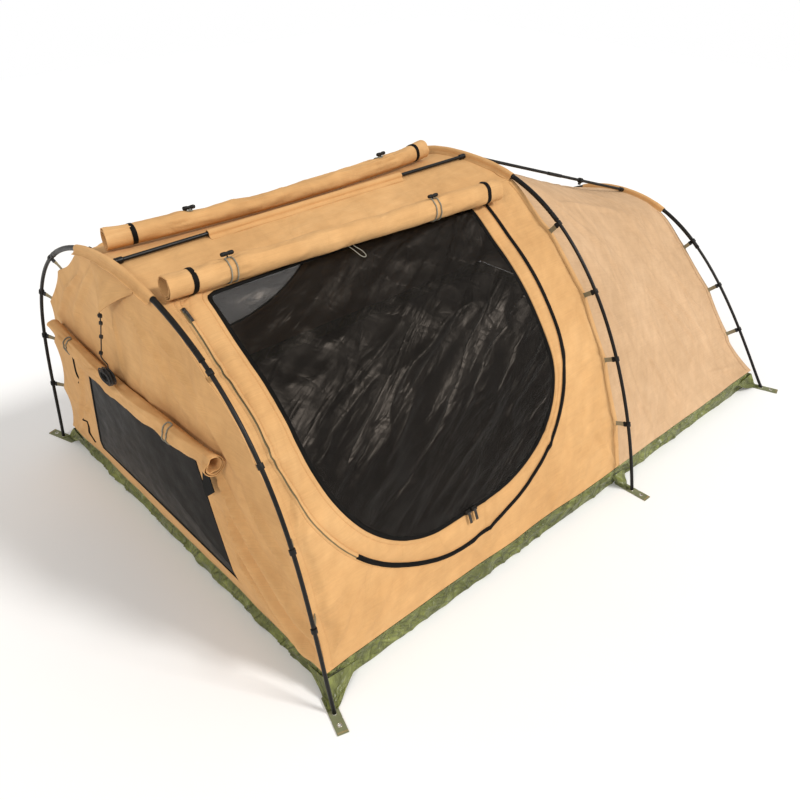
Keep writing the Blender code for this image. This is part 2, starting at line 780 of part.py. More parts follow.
def build_roof(bay, canvas):
    half = (ROOF_HALF_WIDTH - SEAM_GAP) / bay.arc
    columns, rows = ROOF_COLUMNS, ROOF_ROWS
    head = SEAM_GAP / bay.length
    pairs = []
    for row in range(rows + 1):
        along = head + (1 - head - SEAM_GAP / 2 / bay.length) * row / rows
        pairs.append([(along, 1 - half + 2 * half * column / columns)
                      for column in range(columns + 1)])
    outer, inner = bay.skin(pairs)
    add_mesh("roof_panel", *shell(outer, inner), canvas)


def canopy_pairs(bay):
    rows, columns = CANOPY_ROWS, CANOPY_COLUMNS
    start = SEAM_GAP / 2 / bay.length
    pairs = []
    for row in range(rows + 1):
        along = start + (1 - start - SEAM_GAP / bay.length) * row / rows
        pairs.append([(along, 2 * column / columns) for column in range(columns + 1)])
    return pairs


def build_canopy(bay, canvas):
    add_mesh("foot_canopy", *shell(*bay.skin(canopy_pairs(bay))), canvas)


# End panels
def arch_outline(hoop, count):
    """Both halves of a hoop's canvas line, near base to far base, with (y, z)."""
    profile = hoop.skin_profile()
    near = [(float(p[1]), float(p[2])) for p in profile]
    far = [(-across, up) for across, up in near[::-1]]
    return resampled(near + far[1:], count)


def build_foot_panel(hoop, canvas):
    arch = arch_outline(hoop, FOOT_ARCH_STEPS)
    base = resampled([arch[-1], arch[0]], FOOT_BASE_STEPS)[1:-1]
    outline = arch + base
    centre_up = hoop.height * FOOT_PANEL_HUB_SHARE
    rings = [[(across * share, centre_up + (up - centre_up) * share) for across, up in outline]
             for share in FOOT_PANEL_RING_SHARES]

    def place(across, up, push):
        return Vector((hoop.skin_x(up) + push, across, up))

    outer = [[place(a, u, SEAM_GAP + CANVAS) for a, u in ring] for ring in rings]
    inner = [[place(a, u, SEAM_GAP) for a, u in ring] for ring in rings]
    centre = (place(0.0, centre_up, SEAM_GAP + CANVAS), place(0.0, centre_up, SEAM_GAP))
    add_mesh("foot_panel", *shell(outer, inner, closed=True, centre=centre), canvas)


def ray_to_outline(outline, centre, direction):
    """Where a ray from centre crosses a closed outline."""
    best = None
    for first, second in zip(outline, outline[1:] + outline[:1]):
        edge = (second[0] - first[0], second[1] - first[1])
        cross = direction[0] * edge[1] - direction[1] * edge[0]
        if abs(cross) < OUTLINE_TOLERANCE ** 2:
            continue
        gap = (first[0] - centre[0], first[1] - centre[1])
        reach = (gap[0] * edge[1] - gap[1] * edge[0]) / cross
        share = (gap[0] * direction[1] - gap[1] * direction[0]) / cross
        on_edge = -OUTLINE_TOLERANCE <= share <= 1 + OUTLINE_TOLERANCE
        if reach > 0 and on_edge and (best is None or reach < best):
            best = reach
    return (centre[0] + direction[0] * best, centre[1] + direction[1] * best)


class HeadPanel:
    """The head panel's plane, its bulge and its window's outline."""

    def __init__(self, hoop):
        self.hoop = hoop
        self.centre = (0.0, (WINDOW_BOTTOM_HEIGHT + WINDOW_TOP_HEIGHT) / 2)
        arch = arch_outline(hoop, HEAD_ARCH_STEPS)
        self.edge = arch + resampled([arch[-1], arch[0]], HEAD_BASE_STEPS)[1:-1]

    def spoke(self, across, up):
        return (across - self.centre[0], up - self.centre[1])

    def outside(self, across, up, push=0.0):
        """A point on the outer face, pushed further out by push."""
        spoke = self.spoke(across, up)
        reach = math.hypot(*spoke)
        share = 0.0
        if reach > SEAM_GAP:
            limit = ray_to_outline(self.edge, self.centre, spoke)
            share = min(reach / math.hypot(*self.spoke(*limit)), 1.0)
        bulge = HEAD_BULGE * (1 - share ** 2)
        return Vector((self.hoop.skin_x(up) - bulge - CANVAS - push, across, up))

    def window_ring(self, shrink=0.0):
        """Window edge as (y, z), one point in line with each of the panel's edge points."""
        low, high = WINDOW_BOTTOM_HEIGHT + shrink, WINDOW_TOP_HEIGHT - shrink
        bottom, top = WINDOW_BOTTOM_HALF_WIDTH - shrink, WINDOW_TOP_HALF_WIDTH - shrink
        corners = [(-bottom, low), (-top, high), (top, high), (bottom, low)]
        ring = [ray_to_outline(corners, self.centre, self.spoke(*p)) for p in self.edge]
        for corner in corners:
            nearest = min(range(len(ring)), key=lambda k: math.dist(ring[k], corner))
            ring[nearest] = corner
        return ring


def build_head_panel(panel, canvas):
    window = panel.window_ring()
    rows = [blended(window, panel.edge, share) for share in HEAD_RING_SHARES]
    outer = [[panel.outside(a, u) for a, u in row] for row in rows]
    inner = [[panel.outside(a, u, -CANVAS) for a, u in row] for row in rows]
    add_mesh("head_panel", *shell(outer, inner, closed=True), canvas)


def build_head_window(panel, material):
    edge = panel.window_ring(SEAM_GAP)
    rows = [edge, blended(edge, [panel.centre] * len(edge), WINDOW_RING_SHARE)]
    set_back = (CANVAS - MESH_SKIN) / 2

    def grid(depth):
        return [[panel.outside(a, u, -depth) for a, u in row] for row in rows]

    back = set_back + MESH_SKIN
    middle = (panel.outside(*panel.centre, -set_back), panel.outside(*panel.centre, -back))
    add_mesh("head_window_mesh", *shell(grid(set_back), grid(back), closed=True, centre=middle),
             material)


# Poles
def build_leg(hoop, side, material):
    """A leg with its foot pin below and its ferrule above."""
    leg, ferrule, _ = hoop.zones(side)
    path = leg + ferrule[1:]
    tangents = directions(path)
    tangents[-1] = hoop.joint_tangent(side)
    hint = Vector((1, 0, 0))
    pin_end = leg[0].copy()
    pin_end.z = SEAM_GAP
    down = Vector((0, 0, 1))
    stations = [(pin_end, down, FOOT_PIN_DIAMETER / 2),
                (leg[0], down, FOOT_PIN_DIAMETER / 2),
                (leg[0], down, POLE_RADIUS)]
    last = len(leg) - 1
    stations += [(path[k], tangents[k], POLE_RADIUS) for k in range(1, last + 1)]
    stations += [(path[k], tangents[k], FERRULE_DIAMETER / 2) for k in range(last, len(path))]
    bore = POLE_RADIUS + SEAM_GAP
    stations += [(path[k], tangents[k], bore) for k in range(len(path) - 1, last, -1)]
    add_mesh(f"{hoop.name}_hoop_{side_name(side)}_leg", *rod(stations, hint, POLE_SIDES), material)


def crown_path(hoop):
    """The crown's own line: both ferrule ends and all of the sleeved top."""
    near = hoop.zones(NEAR)
    far = hoop.zones(FAR)
    return near[1][1:] + near[2][1:] + far[2][:-1][::-1] + far[1][1:-1][::-1]


def build_crown(hoop, material):
    path = crown_path(hoop)
    tangents = directions(path)
    path[0] = path[0] + tangents[0] * SEAM_GAP
    path[-1] = path[-1] - tangents[-1] * SEAM_GAP
    leg, ferrule, _ = hoop.zones(NEAR)
    tangents[0] = (ferrule[2] - ferrule[0]).normalized()
    tangents[-1] = Vector((-tangents[0].x, tangents[0].y, -tangents[0].z))
    stations = [(p, t, POLE_RADIUS) for p, t in zip(path, tangents)]
    add_mesh(f"{hoop.name}_hoop_crown", *rod(stations, Vector((1, 0, 0)), POLE_SIDES), material)


def build_hoop_sleeve(hoop, canvas):
    near = hoop.zones(NEAR)[2]
    far = hoop.zones(FAR)[2]
    path = near + far[:-1][::-1]
    tangents = directions(path)
    tangents[0] = hoop.joint_tangent(NEAR)
    tangents[-1] = -hoop.joint_tangent(FAR)
    path[0] = path[0] + tangents[0] * SEAM_GAP
    path[-1] = path[-1] - tangents[-1] * SEAM_GAP
    tube = pipe(path, tangents, SLEEVE_RADIUS, SLEEVE_BORE, Vector((1, 0, 0)), POLE_SIDES)
    add_mesh(f"{hoop.name}_hoop_sleeve", *tube, canvas)


def ridge_ends(first, second):
    """A ridge pole's end points, butted against the flat-sided sleeves of two hoops."""
    start = Vector((first.foot_x + first.lean, 0, first.height))
    end = Vector((second.foot_x + second.lean, 0, second.height))
    along = (end - start).normalized()
    tilt = math.asin(abs(along.z))
    reach = SLEEVE_RADIUS * math.cos(math.pi / POLE_SIDES - tilt) + SEAM_GAP
    drop = Vector((0, 0, RIDGE_DROP))
    low_start = start - drop + along * (reach + drop.dot(along))
    low_end = end - drop - along * (reach - drop.dot(along))
    return low_start, low_end


def build_ridge_pole(name, first, second, material):
    start, end = ridge_ends(first, second)
    along = (end - start).normalized()
    tip = RIDGE_TIP_DIAMETER / 2
    hint = Vector((0, 1, 0))
    rounding = (RIDGE_TIP_DIAMETER - POLE_DIAMETER) / 2
    places = [(0.0, tip - rounding), (rounding, tip), (RIDGE_TIP_LENGTH, tip),
              (RIDGE_TIP_LENGTH + rounding, POLE_RADIUS)]
    stations = [(start + along * d, along, r) for d, r in places]
    stations += [(end - along * d, along, r) for d, r in places[::-1]]
    add_mesh(name, *rod(stations, hint, POLE_SIDES), material)


def build_ridge_sleeve(first, second, canvas):
    start, end = ridge_ends(first, second)
    along = (end - start).normalized()
    path = [start + along * RIDGE_SLEEVE_FROM_HEAD, end - along * RIDGE_SLEEVE_FROM_MID]
    tube = pipe(path, [along, along], SLEEVE_RADIUS, SLEEVE_BORE, Vector((0, 1, 0)), POLE_SIDES)
    add_mesh("ridge_sleeve", *tube, canvas)


# Rolls of canvas
class Roll:
    """A rolled sheet along (centre, radius) sections, its outer edge at the contact."""

    def __init__(self, line, side_hint, contact, turn_sign, steps, pitch):
        self.line = line
        self.side_hint = side_hint
        self.turn_sign = turn_sign
        self.steps = steps
        self.pitch = pitch
        along = (line[-1][0] - line[0][0]).normalized()
        side, up = self.axes(along)
        self.start = math.atan2(contact.dot(up), contact.dot(side))

    def axes(self, along):
        side = (self.side_hint - along * self.side_hint.dot(along)).normalized()
        return side, along.cross(side)

    def spoke(self, along, step):
        side, up = self.axes(along)
        angle = self.start + self.turn_sign * math.tau * step / ROLL_POINTS_PER_TURN
        return side * math.cos(angle) + up * math.sin(angle)

    def reach(self, radius, step):
        return radius - self.pitch * step / ROLL_POINTS_PER_TURN

    def body(self):
        centres = [centre for centre, _ in self.line]
        outer, inner = [], []
        for (centre, radius), along in zip(self.line, directions(centres)):
            row = [(self.spoke(along, k), self.reach(radius, k)) for k in range(self.steps + 1)]
            outer.append([centre + spoke * reach for spoke, reach in row])
            inner.append([centre + spoke * (reach - ROLL_SKIN) for spoke, reach in row])
        return shell(outer, inner)

    def surface(self, along, radius, direction):
        """Distance from the middle line to the roll's flat-sided surface."""
        for step in range(ROLL_POINTS_PER_TURN):
            first = self.spoke(along, step) * self.reach(radius, step)
            second = self.spoke(along, step + 1) * self.reach(radius, step + 1)
            edge = second - first
            normal = edge.cross(along)
            if abs(direction.dot(normal)) < SEAM_GAP * SEAM_GAP:
                continue
            out = first.dot(normal) / direction.dot(normal)
            share = (direction * out - first).dot(edge) / edge.length_squared
            if out > 0 and 0 <= share <= 1:
                return out
        raise ValueError("no surface in that direction")

    def place(self, distance):
        """Centre, direction and radius at a distance along the sections."""
        left = distance
        for (first, radius), (second, after) in zip(self.line, self.line[1:]):
            length = (second - first).length
            if left <= length:
                share = left / length
                along = (second - first).normalized()
                return first.lerp(second, share), along, radius + (after - radius) * share
            left -= length
        raise ValueError("the place is past the end of the roll")


def bent(low, middle, high, share):
    """A value that runs through low, middle and high on a smooth bend."""
    straight = low + (high - low) * share
    return straight + (middle - (low + high) / 2) * 4 * share * (1 - share)


def door_roll_line(bay, side):
    """Sections of a rolled door, resting on the roof."""
    if side == NEAR:
        insets = (NEAR_ROLL_HEAD_INSET, NEAR_ROLL_FOOT_INSET)
        middle = (NEAR_ROLL_HEAD_FROM_RIDGE + NEAR_ROLL_FOOT_FROM_RIDGE) / 2
        from_ridge = (NEAR_ROLL_HEAD_FROM_RIDGE, middle, NEAR_ROLL_FOOT_FROM_RIDGE)
        radii = (NEAR_ROLL_RADIUS, NEAR_ROLL_MIDDLE_RADIUS, NEAR_ROLL_RADIUS)
    else:
        insets = (FAR_ROLL_HEAD_INSET, FAR_ROLL_FOOT_INSET)
        from_ridge = (FAR_ROLL_HEAD_FROM_RIDGE, FAR_ROLL_MIDDLE_FROM_RIDGE,
                      FAR_ROLL_FOOT_FROM_RIDGE)
        radii = (FAR_ROLL_RADIUS, FAR_ROLL_MIDDLE_RADIUS, FAR_ROLL_RADIUS)
    start, end = insets[0] / bay.length, 1 - insets[1] / bay.length
    line = []
    for index in range(ROLL_SECTIONS):
        share = index / (ROLL_SECTIONS - 1)
        around = 1 - bent(*from_ridge, share) / bay.arc
        radius = bent(*radii, share)
        centre = bay.point(start + (end - start) * share, around if side == NEAR else 2 - around,
                           radius + ROLL_SEAT)
        line.append((centre, radius))
    return line


def door_roll(bay, side):
    line = door_roll_line(bay, side)
    middle = line[len(line) // 2][0]
    from_ridge = abs(middle.y) / bay.arc
    contact = -bay.outward(0.5, 1 - from_ridge if side == NEAR else 1 + from_ridge)
    return Roll(line, Vector((0, 1, 0)), contact, side, DOOR_ROLL_STEPS, DOOR_ROLL_PITCH)


def window_roll(panel):
    """The rolled window cover, lying on the head panel."""
    line = []
    for index in range(ROLL_SECTIONS):
        share = index / (ROLL_SECTIONS - 1)
        across = WINDOW_ROLL_FAR_REACH * share - WINDOW_ROLL_NEAR_REACH * (1 - share)
        centre = panel.outside(across, WINDOW_ROLL_HEIGHT, WINDOW_ROLL_RADIUS + WINDOW_ROLL_SEAT)
        line.append((centre, WINDOW_ROLL_RADIUS))
    toward_panel = Vector((1, 0, 0))
    return Roll(line, toward_panel, toward_panel, FAR, WINDOW_ROLL_STEPS, WINDOW_ROLL_PITCH)


def build_tie(name, roll, distance, first_step, out_axis, material):
    """Two elastic strands from under a roll, round its front, to its top."""
    centre, along, radius = roll.place(distance)
    half = TIE_STRAND_SPACING / 2
    lift = (SEAM_GAP + ELASTIC_DIAMETER / 2) / math.cos(math.pi / ROLL_POINTS_PER_TURN)
    up = Vector((0, 0, 1))
    steps = []
    for step in range(first_step, ROLL_POINTS_PER_TURN):
        spoke = roll.spoke(along, step)
        if spoke.dot(up) > 0 and spoke.dot(out_axis) < TIE_END_SHARE:
            break
        steps.append((spoke, roll.reach(radius, step) + lift))
    strand = [centre + spoke * reach for spoke, reach in steps]
    end = []
    for turn_deg, offset_share in TIE_END_TURN:
        angle = math.radians(turn_deg)
        spoke = (up * math.cos(angle) - out_axis * math.sin(angle)).normalized()
        reach = roll.surface(along, radius, spoke) + lift + SEAM_GAP
        end.append(centre + spoke * reach + along * (half * offset_share))
    path = [p - along * half for p in strand] + end + [p + along * half for p in strand[::-1]]
    rings = [circle_ring(point, tangent, point - centre, ELASTIC_DIAMETER / 2, TIE_SIDES)
             for point, tangent in zip(path, directions(path))]
    add_mesh(name, *lofted(rings), material)


def build_toggle(name, roll, distance, material):
    """A barrel on a short stem that stands on the roll; it turns about the stem."""
    centre, along, radius = roll.place(distance)
    up = Vector((0, 0, 1))
    seat = centre + up * (roll.surface(along, radius, up) + TOGGLE_SEAT)
    middle = seat + up * (ELASTIC_DIAMETER + TOGGLE_CLEARANCE + TOGGLE_DIAMETER / 2)
    half = TOGGLE_LENGTH / 2
    waist, full = TOGGLE_WAIST_DIAMETER / 2, TOGGLE_DIAMETER / 2
    level = Vector((along.x, along.y, 0)).normalized()
    stations = [(middle + level * (half * share), level, waist if thin else full)
                for share, thin in TOGGLE_STATION_SHARES]
    barrel = add_mesh(name, *rod(stations, up, SMALL_SIDES), material, origin=middle)
    stem_stations = [(seat, up, TOGGLE_STEM_DIAMETER / 2), (middle, up, TOGGLE_STEM_DIAMETER / 2)]
    stem = add_mesh(name + "_stem", *rod(stem_stations, level, SMALL_SIDES), material)
    apply_boolean(barrel, stem, "UNION")


def build_ties_and_toggles(rolls, cover, elastic, black):
    for side, roll in rolls:
        total = path_length([centre for centre, _ in roll.line])
        if side == NEAR:
            places = (("head", NEAR_TIE_FROM_HEAD), ("foot", total - NEAR_TIE_FROM_FOOT))
        else:
            places = (("head", FAR_TIE_FROM_HEAD), ("foot", total - FAR_TIE_FROM_FOOT))
        for end, distance in places:
            prefix = side_name(side) + "_" + end
            build_tie(prefix + "_tie", roll, distance, 1, Vector((0, side, 0)), elastic)
            build_toggle(prefix + "_toggle", roll, distance, black)
    build_tie("window_tie", cover, WINDOW_TIE_FROM_NEAR_END, WINDOW_TIE_FIRST_STEP,
              Vector((-1, 0, 0)), elastic)


# Webbing clips down the legs
def clip_outline(reach, pole_radius):
    """Strap and C clip round a pole at the origin, the strap towards +a."""
    inner = pole_radius + SEAM_GAP
    outer = inner + CLIP_WALL
    half = CLIP_STRAP_SKIN / 2
    lean = math.degrees(math.asin(half / outer))
    mouth_low, mouth_high = 270.0 - CLIP_MOUTH_DEG / 2, 270.0 + CLIP_MOUTH_DEG / 2

    def at(radius, degrees):
        angle = math.radians(degrees)
        return (radius * math.cos(angle), radius * math.sin(angle))

    outline = [(reach, half)]
    outline += [at(outer, lean + (mouth_low - lean) * k / CLIP_ARC_STEPS)
                for k in range(CLIP_ARC_STEPS + 1)]
    start, stop = mouth_low, mouth_high - 360.0
    steps = CLIP_ARC_STEPS + 2
    outline += [at(inner_polygon(inner, steps), start + (stop - start) * k / steps)
                for k in range(steps + 1)]
    outline += [at(outer, mouth_high), at(outer, (mouth_high + 360.0 - lean) / 2),
                at(outer, 360.0 - lean), (reach, -half)]
    return outline


def inner_polygon(radius, steps):
    """Radius of a polygon whose flats clear a circle of the given radius."""
    return radius / math.cos(math.radians((360.0 - CLIP_MOUTH_DEG) / steps / 2))


def build_clip_row(hoop, side, bay, pairs, run, material):
    """Seam tape with one strap and clip for each clip height."""
    shift = run * CLIP_TAPE_WIDTH / bay.length
    rows_in, rows_out, middles = [], [], []
    for along, around in pairs:
        rows_in.append([bay.point(along, around, TAPE_LIFT),
                        bay.point(along + shift, around, TAPE_LIFT)])
        top = TAPE_LIFT + CLIP_TAPE_SKIN
        rows_out.append([bay.point(along, around, top), bay.point(along + shift, around, top)])
        middles.append(bay.point(along + shift / 2, around, TAPE_LIFT + CLIP_TAPE_SKIN / 2))
    name = f"{hoop.name}_hoop_{side_name(side)}_clips"
    tape = add_mesh(name, *shell(rows_out, rows_in), material, smooth_deg=20.0)
    leg, ferrule, _ = hoop.zones(side)
    leg_polyline = leg + ferrule[1:]
    for index, share in enumerate(hoop.clip_height_shares):
        wanted = hoop.point(share, side)
        pole, tangent = nearest_on_line(leg_polyline, wanted)
        in_ferrule = pole.z > leg[-1].z
        radius = FERRULE_DIAMETER / 2 if in_ferrule else POLE_RADIUS
        anchor, _ = nearest_on_line(middles, pole)
        towards = anchor - pole
        towards -= tangent * towards.dot(tangent)
        reach = towards.length
        first = towards.normalized()
        second = tangent.cross(first)
        if second.x < 0:
            second = -second
        points, faces = prism(clip_outline(reach, radius), pole, first, second, CLIP_STRAP_WIDTH)
        strap = add_mesh(f"{name}_{index}", points, faces, material)
        apply_boolean(tape, strap, "UNION")


def nearest_on_line(points, wanted):
    """The closest place on a line of points, and the line's direction there."""
    best = None
    for first, second in zip(points, points[1:]):
        edge = second - first
        share = min(max((wanted - first).dot(edge) / edge.length_squared, 0.0), 1.0)
        place = first + edge * share
        gap = (place - wanted).length
        if best is None or gap < best[0]:
            best = (gap, place, edge.normalized())
    return best[1], best[2]


def wall_seam(wall, at_head):
    """Places down one end of a wall, as its own edge points have them."""
    pairs = wall.pairs(wall.edge)
    if at_head:
        return pairs[1:SIDE_POINTS]
    return pairs[SIDE_POINTS + BASE_POINTS + 1:2 * SIDE_POINTS + BASE_POINTS]


def canopy_seam(pairs, side):
    """Places down the foot end of the canopy, from its own edge points."""
    last = pairs[-1]
    picks = last[1:len(last) // 2 - 2]
    return picks if side == NEAR else [(along, 2 - around) for along, around in picks]


# Peg tabs
def build_peg_tab(hoop, side, turn_deg, material):
    """Webbing from under the tub's edge past the hoop's foot, with two eyelets."""
    foot = hoop.point(0.0, side)
    angle = math.radians(turn_deg)
    outward = Vector((math.sin(angle), side * math.cos(angle), 0))
    across = Vector((outward.y, -outward.x, 0))
    start_gap = (abs(foot.y) - HALF_WIDTH - SEAM_GAP * 2) / math.cos(angle)
    spread = PEG_TAB_WIDTH / 2 * abs(math.tan(angle))
    start = foot - outward * (start_gap - spread)
    end = foot + outward * PEG_TAB_PAST_FOOT
    half = PEG_TAB_WIDTH / 2
    outline = [start - across * half, start + across * half, end + across * half,
               end - across * half]
    rings = [[Vector((p.x, p.y, up)) for p in outline] for up in (0.0, PEG_TAB_SKIN)]
    name = f"{hoop.name}_{side_name(side)}_peg_tab"
    tab = add_mesh(name, *lofted(rings), material, smooth_deg=20.0)
    holes = ((foot, FOOT_EYELET_DIAMETER), (foot + outward * PEG_HOLE_PAST_FOOT, PEG_HOLE_DIAMETER))
    for index, (place, diameter) in enumerate(holes):
        low = Vector((place.x, place.y, -CUT_OVERRUN))
        high = Vector((place.x, place.y, PEG_TAB_SKIN + CUT_OVERRUN))
        up = Vector((0, 0, 1))
        stations = [(low, up, diameter / 2), (high, up, diameter / 2)]
        cutter = add_mesh(f"{name}_cutter_{index}",
                          *rod(stations, Vector((1, 0, 0)), SMALL_SIDES), material)
        cutter.hide_render = True
        cutter.display_type = "WIRE"
        apply_boolean(tab, cutter, "DIFFERENCE")


# Guy point, rope and hank
def build_beak(panel, canvas):
    """Triangle of canvas that stands off the head panel; returns its inner tip."""
    hoop = panel.hoop
    columns = BEAK_COLUMNS
    top_row, low_row = [], []
    for index in range(columns + 1):
        share = 2 * index / columns - 1
        across = BEAK_HALF_WIDTH * share
        sleeve_up = arch_height(hoop, abs(across))
        top_up = sleeve_up - BEAK_TOP_MARGIN - SLEEVE_RADIUS
        top_row.append(panel.outside(across, top_up, SEAM_GAP * 2))
        pull = 1 - abs(share)
        low_up = top_up - BEAK_EDGE_DEPTH - (BEAK_DEPTH - BEAK_EDGE_DEPTH) * pull
        narrowed = across * (1 - pull * BEAK_NARROWING_SHARE)
        low = panel.outside(narrowed, low_up, SEAM_GAP * 2)
        low.x -= BEAK_REACH * pull
        low_row.append(low)
    middle = [a.lerp(b, 0.5) for a, b in zip(top_row, low_row)]
    rows = [top_row, middle, low_row]
    lift = Vector((-CANVAS, 0, 0))
    outer = [[p + lift for p in row] for row in rows]
    add_mesh("guy_beak", *shell(outer, rows), canvas, smooth_deg=20.0)
    return low_row[columns // 2]


def arch_height(hoop, across):
    """Height of the canvas line above a place across the tent."""
    profile = hoop.skin_profile()
    return float(np.interp(-across, profile[:, 1], profile[:, 2]))


def curve_through(points, step):
    """Evenly spaced points on a smooth curve through a hand-chosen route."""
    dense = []
    padded = [points[0]] + list(points) + [points[-1]]
    for index in range(1, len(padded) - 2):
        p0, p1, p2, p3 = (Vector(padded[index + k]) for k in (-1, 0, 1, 2))
        for part in range(12):
            t = part / 12
            dense.append(0.5 * (2 * p1 + (p2 - p0) * t + (2 * p0 - 5 * p1 + 4 * p2 - p3) * t ** 2
                                + (3 * p1 - p0 - 3 * p2 + p3) * t ** 3))
    dense.append(Vector(points[-1]))
    count = max(int(path_length(dense) / step), 2)
    return [Vector(p) for p in resampled(dense, count)]


def add_cord(name, path, diameter, resolution, material):
    curve = bpy.data.curves.new(name, "CURVE")
    curve.dimensions = "3D"
    curve.bevel_depth = diameter / 2
    curve.bevel_resolution = resolution
    curve.use_fill_caps = True
    spline = curve.splines.new("POLY")
    spline.points.add(len(path) - 1)
    for point, place in zip(spline.points, path):
        point.co = (*place, 1.0)
    curve.materials.append(material)
    obj = bpy.data.objects.new(name, curve)
    bpy.context.scene.collection.objects.link(obj)
    return obj


def hank_path():
    """One unbroken cord wound in flat loops, in and out through the layers."""
    loops = HANK_TURNS_PER_LAYER * HANK_LAYERS
    count = loops * HANK_POINTS_PER_TURN
    up_middle = WINDOW_ROLL_HEIGHT + WINDOW_ROLL_RADIUS + HANK_HEIGHT_ABOVE_ROLL
    centre = Vector((HANK_X, HANK_Y, up_middle))
    path = []
    for index in range(count + 1):
        turned = index / HANK_POINTS_PER_TURN
        layer = min(int(turned / HANK_TURNS_PER_LAYER), HANK_LAYERS - 1)
        within = turned - layer * HANK_TURNS_PER_LAYER
        inward = within if layer % 2 == 0 else HANK_TURNS_PER_LAYER - within
        climb = float(layer)
        nearest = round(turned / HANK_TURNS_PER_LAYER)
        offset = turned - nearest * HANK_TURNS_PER_LAYER
        reach = HANK_CLIMB_TURN_SHARE
        if 0 < nearest < HANK_LAYERS and abs(offset) <= reach:
            climb = nearest - 1 + smooth_step((offset + reach) / (2 * reach))
        angle = math.pi / 2 + math.tau * turned
        half_long = HANK_LENGTH / 2 - HANK_PITCH * inward
        half_high = HANK_HEIGHT / 2 - HANK_PITCH * inward
        waist = 1 - HANK_WAIST_SHARE * abs(math.sin(angle)) ** HANK_WAIST_POWER
        swing = math.copysign(abs(math.cos(angle)) ** HANK_ROUND_POWER, math.cos(angle))
        across = half_long * swing
        up = half_high * math.sin(angle) * waist
        depth = HANK_LAYER_PITCH * (climb - (HANK_LAYERS - 1) / 2)
        path.append(centre + Vector((-depth, across, up)))
    return path


def least_gap(path, diameter, apart):
    """Smallest clear distance between stretches that are apart along the path."""
    array = np.array([tuple(p) for p in path])
    steps = np.linalg.norm(np.diff(array, axis=0), axis=1)
    along = np.concatenate(([0.0], np.cumsum(steps)))
    fine = np.linspace(0.0, along[-1], len(path) * 5)
    dense = np.stack([np.interp(fine, along, array[:, axis]) for axis in range(3)], axis=1)
    smallest = math.inf
    for index in range(len(dense)):
        far = np.abs(fine - fine[index]) > apart
        if far.any():
            gaps = np.linalg.norm(dense[far] - dense[index], axis=1)
            smallest = min(smallest, float(gaps.min()))
    return smallest - diameter


def build_guy(tip, material):
    hank = hank_path()
    top = hank[0]
    lead_in = top + Vector((0, 0, CORD_DIAMETER))
    hank = [lead_in] + hank
    print("hank: least gap to itself %.5f m" % least_gap(hank[1:], CORD_DIAMETER, HANK_HEIGHT / 2))
    print("hank: cord length %.3f m" % path_length(hank))
    end = lead_in + Vector((0, 0, SEAM_GAP))
    start = tip - Vector((CANVAS / 2, 0, SEAM_GAP))
    route = [start] + [start + Vector(step) for step in GUY_ROUTE]
    route.append(end + Vector((0, 0, CORD_DIAMETER * CORD_LEAD_DIAMETERS)))
    route += [end + Vector((0, 0, CORD_DIAMETER)), end]
    line = curve_through(route, CORD_DIAMETER * CORD_POINT_DIAMETERS)
    print("guy line: length %.3f m" % path_length(line))
    add_cord("guy_line", line, CORD_DIAMETER, 2, material)
    add_cord("guy_hank", hank, CORD_DIAMETER, 1, material)


# Window tab, sliders and pulls
def build_window_tab(cover, material):
    """Stiff black tab that hangs from a bead under the window roll's near end."""
    centre, along, radius = cover.place(TAB_FROM_NEAR_END)
    down = Vector((0, 0, -1))
    level = Vector((0, 1, 0))
    drop = cover.surface(along, radius, down) + SEAM_GAP + TAB_BEAD_DIAMETER / 2
    pivot = centre + down * drop
    bead_half = TAB_BEAD_LENGTH / 2
    stations = [(pivot - level * bead_half, level, TAB_BEAD_DIAMETER / 2),
                (pivot + level * bead_half, level, TAB_BEAD_DIAMETER / 2)]
    tab = add_mesh("window_tab", *rod(stations, down, SMALL_SIDES), material, origin=pivot,
                   smooth_deg=20.0)
    half = TAB_WIDTH / 2
    outline = [(half * share, -TAB_LENGTH * fall) for share, fall in TAB_OUTLINE_SHARES]
    rings = []
    for offset in (-TAB_SKIN / 2, TAB_SKIN / 2):
        rings.append([pivot + Vector((offset, across, up)) for across, up in outline])
    blade = add_mesh("window_tab_blade", *lofted(rings), material)
    apply_boolean(tab, blade, "UNION")


def slider_frame(wall, place_x):
    """A slider's seat on the mesh door's lower edge: place, along, up and out."""
    bay = wall.bay
    along_share = (place_x - bay.start[0][0]) / bay.length
    around = (DOOR_FROM_TUB + MESH_RIM / 2) / bay.arc
    seat = bay.point(along_share, around)
    step = SLIDER_LENGTH / bay.length
    along = (bay.point(along_share + step, around) - bay.point(along_share - step, around))
    along = along.normalized()
    out = bay.outward(along_share, around)
    out = (out - along * out.dot(along)).normalized()
    return seat, along, out.cross(along), out


def box_body(centre, axes, sizes):
    rings = []
    for end in (-1, 1):
        ring = []
        for a, b in ((-1, -1), (1, -1), (1, 1), (-1, 1)):
            ring.append(centre + axes[0] * (a * sizes[0] / 2) + axes[1] * (b * sizes[1] / 2)
                        + axes[2] * (end * sizes[2] / 2))
        rings.append(ring)
    return lofted(rings)


def pull_axis(seat, out):
    """Middle of the pin that carries a pull."""
    eye = PULL_EYE_DIAMETER / 2
    return seat + out * (RUNNING_GAP + SLIDER_HEIGHT + RUNNING_GAP + eye)


